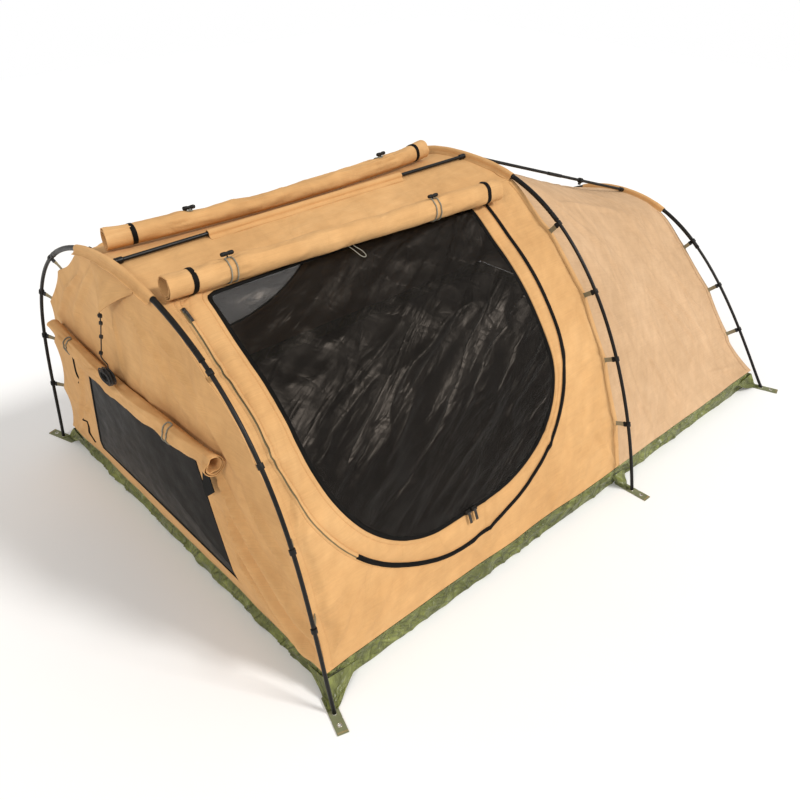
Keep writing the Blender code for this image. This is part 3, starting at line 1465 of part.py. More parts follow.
def build_slider(name, wall, place_x, material):
    """Slider body with two ears and the pin between them."""
    seat, along, up, out = slider_frame(wall, place_x)
    body_centre = seat + out * (RUNNING_GAP + SLIDER_HEIGHT / 2)
    body = add_mesh(name, *box_body(body_centre, (along, up, out),
                                    (SLIDER_LENGTH, SLIDER_WIDTH, SLIDER_HEIGHT)),
                    material, origin=body_centre, smooth_deg=20.0)
    ear_offset = (PULL_WIDTH + SLIDER_EAR_THICKNESS) / 2 + RUNNING_GAP
    ear_centre_height = RUNNING_GAP + SLIDER_HEIGHT / 2 + SLIDER_EAR_HEIGHT / 2
    for index, sign in enumerate((-1, 1)):
        centre = seat + out * ear_centre_height + along * (sign * ear_offset)
        ear = add_mesh(f"{name}_ear_{index}",
                       *box_body(centre, (along, up, out),
                                 (SLIDER_EAR_THICKNESS, SLIDER_WIDTH / 2, SLIDER_EAR_HEIGHT)),
                       material)
        apply_boolean(body, ear, "UNION")
    axis = pull_axis(seat, out)
    reach = along * (ear_offset)
    stations = [(axis - reach, along, SLIDER_PIN_DIAMETER / 2),
                (axis + reach, along, SLIDER_PIN_DIAMETER / 2)]
    pin = add_mesh(name + "_pin", *rod(stations, out, SMALL_SIDES), material)
    apply_boolean(body, pin, "UNION")


def build_pull(name, wall, place_x, material):
    """Pull tab that hangs from the slider's pin by an eye."""
    seat, along, up, out = slider_frame(wall, place_x)
    axis = pull_axis(seat, out)
    bore = SLIDER_PIN_DIAMETER / 2 + SEAM_GAP
    tilt = math.radians(PULL_REST_TILT_DEG)
    down = (out * math.sin(tilt) - up * math.cos(tilt)).normalized()
    side = along.cross(down)
    rings = []
    eye = PULL_EYE_DIAMETER / 2
    for offset in (-PULL_WIDTH / 2, PULL_WIDTH / 2):
        rings.append(circle_ring(axis + along * offset, along, side, eye, SMALL_SIDES))
    bores = []
    bore_radius = bore / math.cos(math.pi / SMALL_SIDES)
    for offset in (PULL_WIDTH / 2, -PULL_WIDTH / 2):
        bores.append(circle_ring(axis + along * offset, along, side, bore_radius, SMALL_SIDES))
    body = add_mesh(name, *lofted(rings + bores, caps=False), material, origin=axis,
                    smooth_deg=50.0)
    start = eye - (eye - bore_radius) / 2
    centre = axis + down * (start + (PULL_LENGTH - start) / 2)
    blade = add_mesh(name + "_blade", *box_body(centre, (along, side, down),
                                                (PULL_WIDTH, PULL_SKIN, PULL_LENGTH - start)),
                     material)
    apply_boolean(body, blade, "UNION")


def make_hoops():
    head = Hoop("head", -HALF_LENGTH - HOOP_OUTSET, -HALF_LENGTH, HEAD_HOOP_LEAN,
                HALF_WIDTH + HEAD_FOOT_PAST_BASE, HEAD_HOOP_TOE, HEAD_HOOP_HEIGHT,
                HEAD_RISE_POWER, HEAD_WIDTH_POWER, HEAD_CLIP_HEIGHT_SHARES)
    mid = Hoop("mid", MID_HOOP_X, MID_HOOP_X, MID_HOOP_LEAN, HALF_WIDTH + MID_FOOT_PAST_BASE,
               MID_HOOP_TOE, MID_HOOP_HEIGHT, MID_RISE_POWER, MID_WIDTH_POWER,
               MID_CLIP_HEIGHT_SHARES)
    foot = Hoop("foot", HALF_LENGTH + HOOP_OUTSET, HALF_LENGTH, FOOT_HOOP_LEAN,
                HALF_WIDTH + FOOT_FOOT_PAST_BASE, FOOT_HOOP_TOE, FOOT_HOOP_HEIGHT,
                FOOT_RISE_POWER, FOOT_WIDTH_POWER, FOOT_CLIP_HEIGHT_SHARES)
    return head, mid, foot


def main():
    clear_scene()
    canvas = make_material("canvas", TAN, 0.85)
    vinyl = make_material("tub_fabric", OLIVE, 0.55)
    mesh = make_material("insect_mesh", MESH_BLACK, 0.55)
    pole = make_material("pole", POLE_BLACK, 0.35)
    webbing = make_material("webbing", WEB_GREY, 0.80)
    elastic = make_material("elastic", WEB_GREY, 0.75)
    foam = make_material("mattress_cover", FOAM_GREY, 0.90)
    zip_black = make_material("zip", ZIP_BLACK, 0.45)
    plastic = make_material("black_plastic", POLE_BLACK, 0.40)
    cord = make_material("guy_cord", MESH_BLACK, 0.70)

    head, mid, foot = make_hoops()
    body = Bay(head, mid, SIDE_BOW, 0.0)
    foot_bay = Bay(mid, foot, SIDE_BOW, CANOPY_SAG)

    build_floor_tub(vinyl)
    build_mattress(foam)
    walls = [DoorWall(body, side) for side in (NEAR, FAR)]
    rolls = []
    for wall in walls:
        build_wall(wall, canvas)
        build_mesh_door(wall, mesh)
        build_door_zip(wall, zip_black)
        rolls.append((wall.side, door_roll(body, wall.side)))
        add_mesh(side_name(wall.side) + "_door_roll", *rolls[-1][1].body(), canvas)
    build_roof(body, canvas)
    build_canopy(foot_bay, canvas)
    build_foot_panel(foot, canvas)
    panel = HeadPanel(head)
    build_head_panel(panel, canvas)
    build_head_window(panel, mesh)
    cover = window_roll(panel)
    add_mesh("window_roll", *cover.body(), canvas)
    build_window_tab(cover, zip_black)

    for hoop in (head, mid, foot):
        for side in (NEAR, FAR):
            build_leg(hoop, side, pole)
        build_crown(hoop, pole)
        build_hoop_sleeve(hoop, canvas)
    build_ridge_pole("head_ridge_pole", head, mid, pole)
    build_ridge_pole("foot_ridge_pole", mid, foot, pole)
    build_ridge_sleeve(head, mid, canvas)

    for wall in walls:
        build_clip_row(head, wall.side, body, wall_seam(wall, True), 1, webbing)
        build_clip_row(mid, wall.side, body, wall_seam(wall, False), -1, webbing)
        foot_seam = canopy_seam(canopy_pairs(foot_bay), wall.side)
        build_clip_row(foot, wall.side, foot_bay, foot_seam, -1, webbing)
    for side in (NEAR, FAR):
        build_peg_tab(head, side, -CORNER_TAB_TURN_DEG, webbing)
        build_peg_tab(mid, side, 0.0, webbing)
        build_peg_tab(foot, side, CORNER_TAB_TURN_DEG, webbing)

    build_ties_and_toggles(rolls, cover, elastic, plastic)
    build_guy(build_beak(panel, canvas), cord)
    near_wall = walls[0]
    for name, offset in (("head", -SLIDER_SPACING / 2), ("foot", SLIDER_SPACING / 2)):
        build_slider(f"mesh_{name}_slider", near_wall, SLIDER_X + offset, plastic)
        build_pull(f"mesh_{name}_pull", near_wall, SLIDER_X + offset, plastic)


main()
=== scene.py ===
"""The looks of the swag bedroll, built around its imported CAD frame.

Metres. +X runs to the foot end, -Y is the near side, +Z is up. On a wall, run is measured
from the head seam towards the foot, and rise up the cloth from the tub.
"""

import math

import bpy
import numpy as np
from mathutils import Matrix, Vector


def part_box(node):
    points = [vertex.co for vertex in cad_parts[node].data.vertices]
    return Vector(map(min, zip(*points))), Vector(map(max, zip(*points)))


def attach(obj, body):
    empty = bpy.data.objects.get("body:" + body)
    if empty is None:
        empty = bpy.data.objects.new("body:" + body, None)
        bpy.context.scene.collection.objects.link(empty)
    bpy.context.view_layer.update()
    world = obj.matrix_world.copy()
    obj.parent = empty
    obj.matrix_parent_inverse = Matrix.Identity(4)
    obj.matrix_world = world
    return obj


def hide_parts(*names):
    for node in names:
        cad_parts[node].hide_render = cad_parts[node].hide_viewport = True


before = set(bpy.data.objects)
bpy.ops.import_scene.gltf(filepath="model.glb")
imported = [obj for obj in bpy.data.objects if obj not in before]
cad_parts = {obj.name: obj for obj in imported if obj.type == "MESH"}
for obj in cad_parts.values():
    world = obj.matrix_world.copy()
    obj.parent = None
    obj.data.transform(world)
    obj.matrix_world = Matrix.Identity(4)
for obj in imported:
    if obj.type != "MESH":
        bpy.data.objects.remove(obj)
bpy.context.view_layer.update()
BODY = "swag"
NEAR, FAR = -1, 1
SIDES = (NEAR, FAR)
WORD = {NEAR: "near", FAR: "far"}
UP = np.array([0, 0, 1.0])

# Sizes repeated from the part's source
SEAM_GAP = 0.0003
CANVAS = 0.003
BASE_LENGTH, BASE_WIDTH = 2.172, 1.480
HALF_LENGTH, HALF_WIDTH = BASE_LENGTH / 2, BASE_WIDTH / 2
TUB_HEIGHT = 0.070
SKIRT_HEIGHT = TUB_HEIGHT + 2 * SEAM_GAP
POLE_RADIUS = 0.0055
FERRULE_RADIUS, FERRULE_LENGTH = 0.00775, 0.215
SLEEVE_HALF_LENGTH, SLEEVE_RADIUS, SLEEVE_DROP = 0.205, 0.0095, 0.0107
HOOP_TO_CANVAS = 0.042
DROP_EASE_LENGTH = 0.200
PEG_TAB_SKIN = 0.0028
PROFILE = 400
SLIDER_RUN = 0.070
ROOF_HALF = 0.200
HEAD_BULGE = 0.036
# name: foot x, base x, lean, half width, toe, height, rise power, width power, clip shares
HOOPS = {
    "head": (-1.113, -1.086, -0.006, 0.8025, 0.113, 0.958, 3.53, 1.964, (0.270, 0.495, 0.695, 0.870)),
    "mid": (0.175, 0.175, -0.029, 0.8056, 0.076, 0.967, 1.978, 2.376, (0.255, 0.479, 0.686, 0.870)),
    "foot": (1.113, 1.086, 0.028, 0.789, 0.004, 0.619, 0.914, 2.153, (0.331, 0.575, 0.800)),
}
# Thickness of each cloth as drawn
CANVAS_SKIN, ROLL_SKIN, NET_SKIN, BINDING_SKIN = 0.0026, 0.0022, 0.0006, 0.0010
VINYL_SKIN, TAPE_SKIN, ZIP_SKIN = 0.0014, 0.0012, 0.0008


# Small numeric tools
def smooth(value, low=0.0, high=1.0):
    t = np.clip((np.asarray(value, float) - low) / (high - low), 0, 1)
    return t * t * (3 - 2 * t)


def bell(distance, width):
    return np.exp(-(distance / width) ** 2)


def lattice(ix, iy, seed):
    n = (ix * 374761393 + iy * 668265263 + seed * 144269504) & 0x7fffffff
    n = ((n ^ (n >> 13)) * 1274126177) & 0x7fffffff
    return ((n ^ (n >> 16)) & 0xffff) / 32767.5 - 1


def noise2(x, y, seed=0):
    """Smooth noise from -1 to 1, the same each run."""
    x, y = np.asarray(x, float), np.asarray(y, float)
    ix, iy = np.floor(x).astype(np.int64), np.floor(y).astype(np.int64)
    fx, fy = (f * f * f * (f * (f * 6 - 15) + 10) for f in (x - ix, y - iy))
    a, b = lattice(ix, iy, seed), lattice(ix + 1, iy, seed)
    c, d = lattice(ix, iy + 1, seed), lattice(ix + 1, iy + 1, seed)
    return (a * (1 - fx) + b * fx) * (1 - fy) + (c * (1 - fx) + d * fx) * fy


def layered(x, y, seed=0, octaves=3):
    total = sum(noise2(x * 2 ** k, y * 2 ** k, seed + 17 * k) * 0.5 ** k for k in range(octaves))
    return total / sum(0.5 ** k for k in range(octaves))


def ridged(x, y, seed=0):
    """Noise with narrow crests, for creases."""
    return 1 - 2 * np.abs(noise2(x, y, seed)) ** 0.7


def fold(x, y, start, end, width, height, lean=0.0):
    """A crease from start to end: full in its middle, gone past its ends."""
    s, e = np.array(start, float), np.array(end, float)
    length = np.linalg.norm(e - s)
    u = (e - s) / length
    along = ((x - s[0]) * u[0] + (y - s[1]) * u[1]) / length
    within = np.clip(along, 0, 1)
    across = (x - s[0]) * -u[1] + (y - s[1]) * u[0] - lean * np.sin(np.pi * within)
    spread = width * (0.6 + 0.8 * within)
    shape = bell(across, spread) - 0.45 * bell(across, 2.2 * spread)
    return height * shape * smooth(along, -0.12, 0.12) * (1 - smooth(along, 0.80, 1.15)) * 1.6


def add_folds(total, x, y, folds, scale=1.0):
    """Named creases, each given as x and y of its ends, width, height and lean."""
    for x0, y0, x1, y1, width, height, lean in folds:
        total = total + fold(x, y, (x0, y0), (x1, y1), width, height * scale, lean)
    return total


def scatter_folds(x, y, limits, count, seed, heading, spread, size):
    """Many soft creases scattered over a cloth, most of them near one heading."""
    total = np.zeros_like(np.asarray(x, float))
    low_x, high_x, low_y, high_y = limits
    for k in range(count):
        draw = lattice(np.int64(k), np.arange(1, 8), seed)
        px = low_x + (high_x - low_x) * (0.5 + 0.5 * draw[0])
        py = low_y + (high_y - low_y) * (0.5 + 0.5 * draw[1])
        turn = heading + spread * draw[2]
        long, wide = 0.10 + 0.09 * (1 + draw[3]), 0.008 + 0.006 * (1 + draw[4])
        end = (px + math.cos(turn) * long, py + math.sin(turn) * long)
        total = total + fold(x, y, (px, py), end, wide, size * (0.7 + 0.3 * draw[5]), 0.015 * draw[6])
    return total


def distances(points):
    """How far along a line each of its points is."""
    return np.concatenate(([0.0], np.cumsum(np.linalg.norm(np.diff(points, axis=0), axis=1))))


def interpolated(wanted, places, points):
    return np.stack([np.interp(wanted, places, points[:, k]) for k in range(points.shape[1])], axis=-1)


def resample(points, count, closed=False):
    p = np.asarray(points, float)
    if closed:
        p = np.vstack([p, p[:1]])
    along = distances(p)
    out = interpolated(np.linspace(0, along[-1], count + 1), along, p)
    return out[:-1] if closed else out


def round_trip(corners, count):
    """Points along the closed line through some corners, the same number from each to the next."""
    return np.vstack([resample([a, b], count)[:-1] for a, b in zip(corners, np.roll(corners, -1, 0))])


def length_of(points):
    return float(np.linalg.norm(np.diff(np.asarray(points), axis=0), axis=1).sum())


def spline(points, count):
    """Evenly spaced points on a smooth curve through a few points."""
    p = np.asarray(points, float)
    p = np.vstack([2 * p[0] - p[1], p, 2 * p[-1] - p[-2]])
    t = np.linspace(0, 1, 24, endpoint=False)[:, None]
    dense = [0.5 * (2 * b + (c - a) * t + (2 * a - 5 * b + 4 * c - d) * t ** 2
                    + (3 * b - a - 3 * c + d) * t ** 3)
             for a, b, c, d in zip(p, p[1:], p[2:], p[3:])]
    return resample(np.vstack(dense + [p[-2:-1]]), count)


def unit(v):
    v = np.asarray(v, float)
    return v / np.maximum(np.linalg.norm(v, axis=-1, keepdims=True), 1e-12)


def tangents(path):
    return unit(np.gradient(np.asarray(path, float), axis=0))


def circle(count):
    """Cosines and sines of evenly spaced angles."""
    a = np.linspace(0, math.tau, count, endpoint=False)
    return np.stack([np.cos(a), np.sin(a)], axis=1)


def grid_of(first, second):
    return np.meshgrid(first, second, indexing="ij")


def cloth_uv(along, across):
    """The flat place of each point of a regular grid."""
    return np.stack(grid_of(along, across), axis=-1).reshape(-1, 2)


# Meshes
def link(obj):
    bpy.context.scene.collection.objects.link(obj)
    return obj


def dress(obj, slot, replaces=(), body=BODY):
    """Links a piece, hangs it on the body that it rides on, and hides the nodes that it stands for; its slot
    is not used.
    """
    link(obj)
    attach(obj, body)
    if replaces:
        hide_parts(*replaces)
    return obj


def piece(name, points, faces, material, slot, sharp=40.0, uv=None, **rides):
    mesh = bpy.data.meshes.new(name)
    faces = faces if isinstance(faces, list) else faces.tolist()
    mesh.from_pydata(np.asarray(points, float).tolist(), [], faces)
    mesh.validate()
    mesh.polygons.foreach_set("use_smooth", [True] * len(mesh.polygons))
    mesh.set_sharp_from_angle(angle=math.radians(sharp))
    if uv is not None:
        layer = mesh.uv_layers.new(name="cloth")
        index = np.empty(len(mesh.loops), np.int64)
        mesh.loops.foreach_get("vertex_index", index)
        layer.data.foreach_set("uv", np.asarray(uv, np.float32)[index].ravel())
    mesh.materials.append(material)
    return dress(bpy.data.objects.new(name, mesh), slot, **rides)


def quads(rows, cols, closed, offset=0, flip=False):
    r, c = grid_of(np.arange(rows - 1), np.arange(cols if closed else cols - 1))
    n = (c + 1) % cols
    f = np.stack([r * cols + c, r * cols + n, (r + 1) * cols + n, (r + 1) * cols + c], axis=-1).reshape(-1, 4)
    return (f[:, ::-1] if flip else f) + offset


def grid_normals(grid, closed):
    if closed:
        across = np.roll(grid, -1, axis=1) - np.roll(grid, 1, axis=1)
    else:
        across = np.gradient(grid, axis=1)
    return unit(np.cross(across, np.gradient(grid, axis=0)))


def area_of(grid, closed):
    g = np.concatenate([grid, grid[:, :1]], axis=1) if closed else grid
    a, b, c, d = g[:-1, :-1], g[:-1, 1:], g[1:, 1:], g[1:, :-1]
    return sum(np.linalg.norm(np.cross(p - a, q - a), axis=-1).sum() for p, q in ((b, c), (c, d))) / 2


def skin(name, grid, thickness, material, slot, out, uv, closed=False, **extra):
    """A closed sheet of even thickness round a grid of points; out points to its outer side."""
    rows, cols = grid.shape[:2]
    normal = grid_normals(grid, closed)
    flip = float((normal * np.asarray(out, float)).sum()) < 0
    if flip:
        normal = -normal
    points = np.vstack([(grid + normal * h * thickness / 2).reshape(-1, 3) for h in (1, -1)])
    count, last = rows * cols, (rows - 1) * cols
    c = np.arange(cols if closed else cols - 1)
    n = (c + 1) % cols
    edges = [[c + count, n + count, n, c, last + c, last + n, last + n + count, last + c + count]]
    if not closed:
        a = np.arange(rows - 1) * cols
        b, e = a + cols, cols - 1
        edges.append([a, b, b + count, a + count, b + e, a + e, a + e + count, b + e + count])
    edge = np.vstack([np.stack(e, axis=1).reshape(-1, 4) for e in edges])
    faces = [quads(rows, cols, closed, 0, flip), quads(rows, cols, closed, count, not flip),
             edge[:, ::-1] if flip else edge]
    flat = np.asarray(uv, float).reshape(-1, 2)
    obj = piece(name, points, np.vstack(faces), material, slot, uv=np.vstack([flat, flat]), **extra)
    obj["cloth_area"] = float(area_of(grid, closed))
    obj["cloth_flat"] = [float(v) for v in np.ptp(flat, axis=0)]
    return obj


def rings_at(path, right, up, profile):
    """Rings of a profile, given as (side, up) offsets, round each point of a path."""
    return path[:, None] + right[:, None] * profile[..., :1] + up[:, None] * profile[..., 1:]


def sweep(path, profile, hint):
    """Rings of a profile along a path; up follows the hint."""
    path, profile = np.asarray(path, float), np.asarray(profile, float)
    t = tangents(path)
    hint = np.broadcast_to(np.asarray(hint, float), path.shape)
    up = unit(hint - t * (hint * t).sum(-1, keepdims=True))
    return rings_at(path, np.cross(t, up), up, profile)


def capped(rings):
    """Points and faces of a closed tube with flat ends."""
    rows, cols = rings.shape[:2]
    faces = quads(rows, cols, True).tolist()
    faces += [list(range(cols))[::-1], list(range((rows - 1) * cols, rows * cols))]
    return rings.reshape(-1, 3), faces


def outward_faces(points, faces):
    """The same faces, turned so that the body's volume is positive."""
    fans = np.array([(f[0], b, c) for f in faces for b, c in zip(f[1:], f[2:])])
    a, b, c = (points[fans[:, k]] for k in range(3))
    return [f[::-1] for f in faces] if (a * np.cross(b, c)).sum() < 0 else faces


def solid(name, rings, material, slot, **extra):
    """A closed tube of rings as a piece."""
    points, faces = capped(rings)
    return piece(name, points, outward_faces(points, faces), material, slot, **extra)


class Parts:
    """Collects several closed bodies into one piece."""

    def __init__(self):
        self.points, self.faces, self.count = [], [], 0

    def add(self, points, faces):
        self.points.append(points)
        self.faces += [[i + self.count for i in f] for f in outward_faces(points, faces)]
        self.count += len(points)

    def rings(self, rings):
        self.add(*capped(np.asarray(rings, float)))

    def box(self, centre, axes, sizes, bevel=0.0):
        """A box with chamfered long edges."""
        a, b, c = (unit(x) for x in axes)
        h = np.asarray(sizes, float) / 2
        k = min(bevel, h[0] * 0.9, h[1] * 0.9)
        half = [(-h[0] + k, -h[1]), (h[0] - k, -h[1]), (h[0], -h[1] + k), (h[0], h[1] - k)]
        ring = half + [(-x, -y) for x, y in half]
        rows = []
        for z, shrink in ((-h[2], k), (-h[2] + k, 0.0), (h[2] - k, 0.0), (h[2], k)):
            fx, fy = (h[0] - shrink) / h[0], (h[1] - shrink) / h[1]
            rows.append([np.asarray(centre) + a * x * fx + b * y * fy + c * z for x, y in ring])
        self.rings(rows)

    def make(self, name, material, slot, **extra):
        return piece(name, np.vstack(self.points), self.faces, material, slot, **extra)


# Materials
class Graph:
    """A node tree, with a short call for each kind of node that the materials need."""

    def __init__(self, tree):
        self.tree = tree

    def put(self, value, socket):
        if isinstance(value, bpy.types.NodeSocket):
            self.tree.links.new(value, socket)
        else:
            socket.default_value = value

    def node(self, kind, inputs=(), **settings):
        node = self.tree.nodes.new("ShaderNode" + kind)
        for key, value in settings.items():
            setattr(node, key, value)
        for key, value in dict(inputs).items():
            self.put(value, node.inputs[key])
        return node

    def noise(self, source, scale, detail=3.0, rough=0.55, distortion=0.0):
        return self.node("TexNoise", {"Vector": source, "Scale": scale, "Detail": detail, "Roughness": rough,
                                      "Distortion": distortion}).outputs["Fac"]

    def math(self, operation, a, b=0.0):
        return self.node("Math", {0: a, 1: b}, operation=operation).outputs[0]

    def ramp(self, source, stops):
        node = self.node("ValToRGB", {0: source})
        elements = node.color_ramp.elements
        while len(elements) < len(stops):
            elements.new(0.5)
        for element, (place, colour) in zip(elements, stops):
            element.position, element.color = place, (*colour, 1.0)
        return node.outputs[0]

    def remap(self, source, low, high, new_low, new_high):
        return self.node("MapRange", {"Value": source, "From Min": low, "From Max": high, "To Min": new_low,
                                      "To Max": new_high}).outputs[0]

    def scaled(self, colour, share):
        return self.node("VectorMath", {0: colour, "Scale": share}, operation="SCALE").outputs[0]

    def mapped(self, source, **settings):
        inputs = {key.capitalize(): value for key, value in settings.items()}
        return self.node("Mapping", {"Vector": source, **inputs}).outputs[0]

    def bump(self, height, strength, distance, before=None):
        inputs = {"Strength": strength, "Distance": distance, "Height": height}
        if before is not None:
            inputs["Normal"] = before
        return self.node("Bump", inputs).outputs[0]

    def weave(self, source, threads):
        """Height of a plain weave with that many threads a metre."""
        axis = self.node("SeparateXYZ", {0: source})
        waves = [self.math("SINE", self.math("MULTIPLY", axis.outputs[k], threads * math.pi)) for k in (0, 1)]
        return self.math("MULTIPLY_ADD", self.math("MULTIPLY", *waves), 0.5)

    def creases(self, source, turn_deg, stretch, seed):
        """Long crumple ridges along one heading of the cloth."""
        turned = self.mapped(source, rotation=(0.0, 0.0, -math.radians(turn_deg)),
                             location=(seed, seed * 0.7, seed * 0.3))
        fac = self.noise(self.mapped(turned, scale=stretch), 1.0, 2.5, 0.5, 0.5)
        return self.math("POWER", self.math("ABSOLUTE", self.math("SUBTRACT", fac, 0.5)), 0.65)


def base_material(name, roughness, **sockets):
    """A new material, its graph, and a call that sets or links its shader's sockets."""
    material = bpy.data.materials.new(name)
    material.use_nodes = True
    graph = Graph(material.node_tree)
    shader = material.node_tree.nodes["Principled BSDF"]

    def put(**values):
        for key, value in values.items():
            graph.put(value, shader.inputs[key.replace("_", " ")])

    put(Roughness=roughness, **sockets)
    return material, graph, put


def fabric(name, dark, mid, light, roughness, threads=1100, use_uv=True, crease=0.0, gloss=0.3,
           grain=0.35, creases=(), painted_crease_shading=0.0, **sockets):
    """Woven cloth: weave and slubs in the bump, faded and handled colour, and painted shade and highlight
    along its creases.
    """
    material, g, put = base_material(name, roughness, Specular_IOR_Level=gloss, **sockets)
    coords = g.node("TexCoord")
    place = coords.outputs["Object"]
    cloth = coords.outputs["UV"] if use_uv else place
    fine = g.noise(place, 26.0, 5.0, 0.65)
    broad = g.math("MULTIPLY", g.noise(place, 3.2, 4.0, 0.5), 0.62)
    blend = g.math("ADD", broad, g.math("MULTIPLY", fine, 0.38))
    streak = g.noise(g.mapped(cloth, scale=(9.0, 420.0, 60.0)), 1.0, 2.0, 0.5)
    colour = g.scaled(g.ramp(blend, [(0.36, dark), (0.52, mid), (0.68, light)]),
                      g.remap(streak, 0.3, 0.7, 0.955, 1.045))
    crumple = g.bump(g.weave(cloth, threads), grain, 0.0004)
    crumple = g.bump(g.noise(place, 55.0, 4.0, 0.6), 0.22, 0.0016, crumple)
    if crease:
        crumple = g.bump(g.noise(place, 14.0, 3.0, 0.5), crease, 0.006, crumple)
    for turn_deg, stretch, strength, distance, seed in creases:
        height = g.creases(cloth, turn_deg, (*stretch, 1.0), seed)
        crumple = g.bump(height, strength, distance, crumple)
        # painted shade and highlight: the colour darkens in each crease's hollows and lightens on its crests
        # by this share
        colour = g.scaled(colour, g.remap(height, 0.08, 0.36, 1 - painted_crease_shading, 1 + painted_crease_shading))
    put(Roughness=g.remap(fine, 0.3, 0.7, roughness - 0.06, roughness + 0.06), Base_Color=colour,
        Normal=crumple)
    return material


# Creases are heading in degrees, stretch along and across, strength, depth and a seed.
# Both canvases are painted a little darker in their crease hollows and lighter on their crests, as painted
# shade and highlight.
canvas = fabric("canvas_cloth", (0.545, 0.300, 0.118), (0.605, 0.345, 0.142), (0.660, 0.392, 0.172), 0.86,
                crease=0.25, painted_crease_shading=0.030, creases=((70, (3.0, 11.0), 0.42, 0.010, 5.3),
                                                  (20, (5.0, 17.0), 0.30, 0.006, 11.9)))
# The foot bay's cloth is a paler, less saturated copy of the same canvas: painted light, for the bay's lit
# look where it faces the light.
lit_foot_canvas = fabric("canvas_foot_bay", (0.500, 0.316, 0.172), (0.550, 0.356, 0.202), (0.600, 0.400, 0.236),
                     0.86, crease=0.25, painted_crease_shading=0.034, creases=((110, (3.0, 11.0), 0.52, 0.010, 7.3),
                                                             (60, (5.0, 17.0), 0.34, 0.006, 2.9)))
canvas_trim = fabric("canvas_trim", (0.53, 0.29, 0.112), (0.590, 0.333, 0.136), (0.645, 0.380, 0.165), 0.86,
                     900, crease=0.15)
# The vinyl's colour is painted much darker in its crease hollows and lighter on their crests, as painted
# shade and sheen.
vinyl = fabric("tub_vinyl", (0.085, 0.097, 0.018), (0.140, 0.156, 0.034), (0.205, 0.225, 0.062), 0.38, 700,
               crease=0.5, grain=0.15, gloss=0.5, painted_crease_shading=0.22,
               creases=((62, (7.0, 24.0), 1.0, 0.018, 4.4), (-35, (14.0, 40.0), 0.8, 0.008, 8.8)))
web_olive = fabric("olive_webbing", (0.15, 0.125, 0.070), (0.21, 0.175, 0.105), (0.29, 0.245, 0.155), 0.75,
                   520, grain=0.8)
web_tab = fabric("peg_tab_webbing", (0.12, 0.130, 0.062), (0.18, 0.19, 0.10), (0.25, 0.26, 0.15), 0.75, 520,
                 grain=0.8)
stiff_black = fabric("stiff_black_cloth", (0.004, 0.0038, 0.0035), (0.007, 0.0065, 0.006),
                     (0.012, 0.011, 0.010), 0.75, 900, use_uv=False, gloss=0.12)
elastic = fabric("grey_elastic", (0.13, 0.12, 0.09), (0.24, 0.225, 0.175), (0.36, 0.34, 0.28), 0.7, 900,
                 use_uv=False, grain=0.6)
cord_black = fabric("guy_cord_black", (0.006, 0.006, 0.006), (0.014, 0.013, 0.012), (0.060, 0.055, 0.050),
                    0.62, 700, use_uv=False, grain=0.8)
# Near black: a dark cover, made darker still as painted shade for the inside of the bedroll seen through the
# door mesh.
foam = fabric("mattress_cover", (0.020, 0.020, 0.021), (0.028, 0.028, 0.029), (0.040, 0.040, 0.041), 0.85,
              600)
binding = fabric("black_binding", (0.003, 0.0027, 0.0024), (0.0055, 0.005, 0.0045), (0.010, 0.009, 0.008),
                 0.6, 700, gloss=0.07)
tape_olive = fabric("olive_zip_tape", (0.16, 0.125, 0.06), (0.23, 0.18, 0.09), (0.30, 0.24, 0.13), 0.7, 700)
thread = fabric("stitch_thread", (0.52, 0.32, 0.14), (0.60, 0.38, 0.175), (0.66, 0.43, 0.21), 0.8, 2500,
                use_uv=False)


def mesh_cloth(name, through, gloss, creases=()):
    """Insect mesh: satin black threads, with the share of light that each layer lets through."""
    return fabric(name, (0.0022, 0.0019, 0.0016), (0.0036, 0.0031, 0.0027), (0.0060, 0.0052, 0.0045), 0.36,
                  650, crease=0.15, grain=0.03, gloss=gloss, creases=creases,
                  Specular_Tint=(1.0, 0.86, 0.74, 1.0), Alpha=1 - through)


door_net = mesh_cloth("insect_mesh_door", 0.50, 0.26, ((33, (2.0, 10.0), 0.80, 0.014, 3.1),
                                                       (24, (6.0, 24.0), 0.50, 0.0050, 9.7),
                                                       (-38, (5.0, 15.0), 0.40, 0.0060, 14.3)))
# The window's mesh lets through far less than the door's, so it stands dark as painted shade for the inside
# behind it.
window_net = mesh_cloth("insect_mesh_window", 0.08, 0.07)


def hard(name, colour, roughness, metallic=0.0):
    """Moulded or drawn parts: faint mottling in colour and gloss, fine scratches."""
    material, g, put = base_material(name, roughness, Metallic=metallic, Specular_IOR_Level=0.22)
    place = g.node("TexCoord").outputs["Object"]
    fine = g.noise(place, 90.0, 4.0, 0.6)
    low, high = ([min(c * k, 1.0) for c in colour] for k in (0.75, 1.35))
    put(Base_Color=g.ramp(fine, [(0.35, low), (0.5, colour), (0.68, high)]),
        Roughness=g.remap(fine, 0.3, 0.7, roughness - 0.05, roughness + 0.10),
        Normal=g.bump(g.noise(place, 540.0, 2.0), 0.12, 0.0004))
    return material


pole_black = hard("pole_black", (0.0065, 0.0060, 0.0055), 0.36)
plastic = hard("black_plastic", (0.0070, 0.0065, 0.0060), 0.45)
zip_metal = hard("zip_metal", (0.055, 0.050, 0.045), 0.35, 0.7)
zip_coil = hard("zip_coil", (0.0085, 0.0075, 0.0070), 0.42)
zip_olive = hard("zip_coil_olive", (0.16, 0.135, 0.075), 0.5)
eyelet = hard("eyelet_brass", (0.55, 0.52, 0.44), 0.30, 0.9)


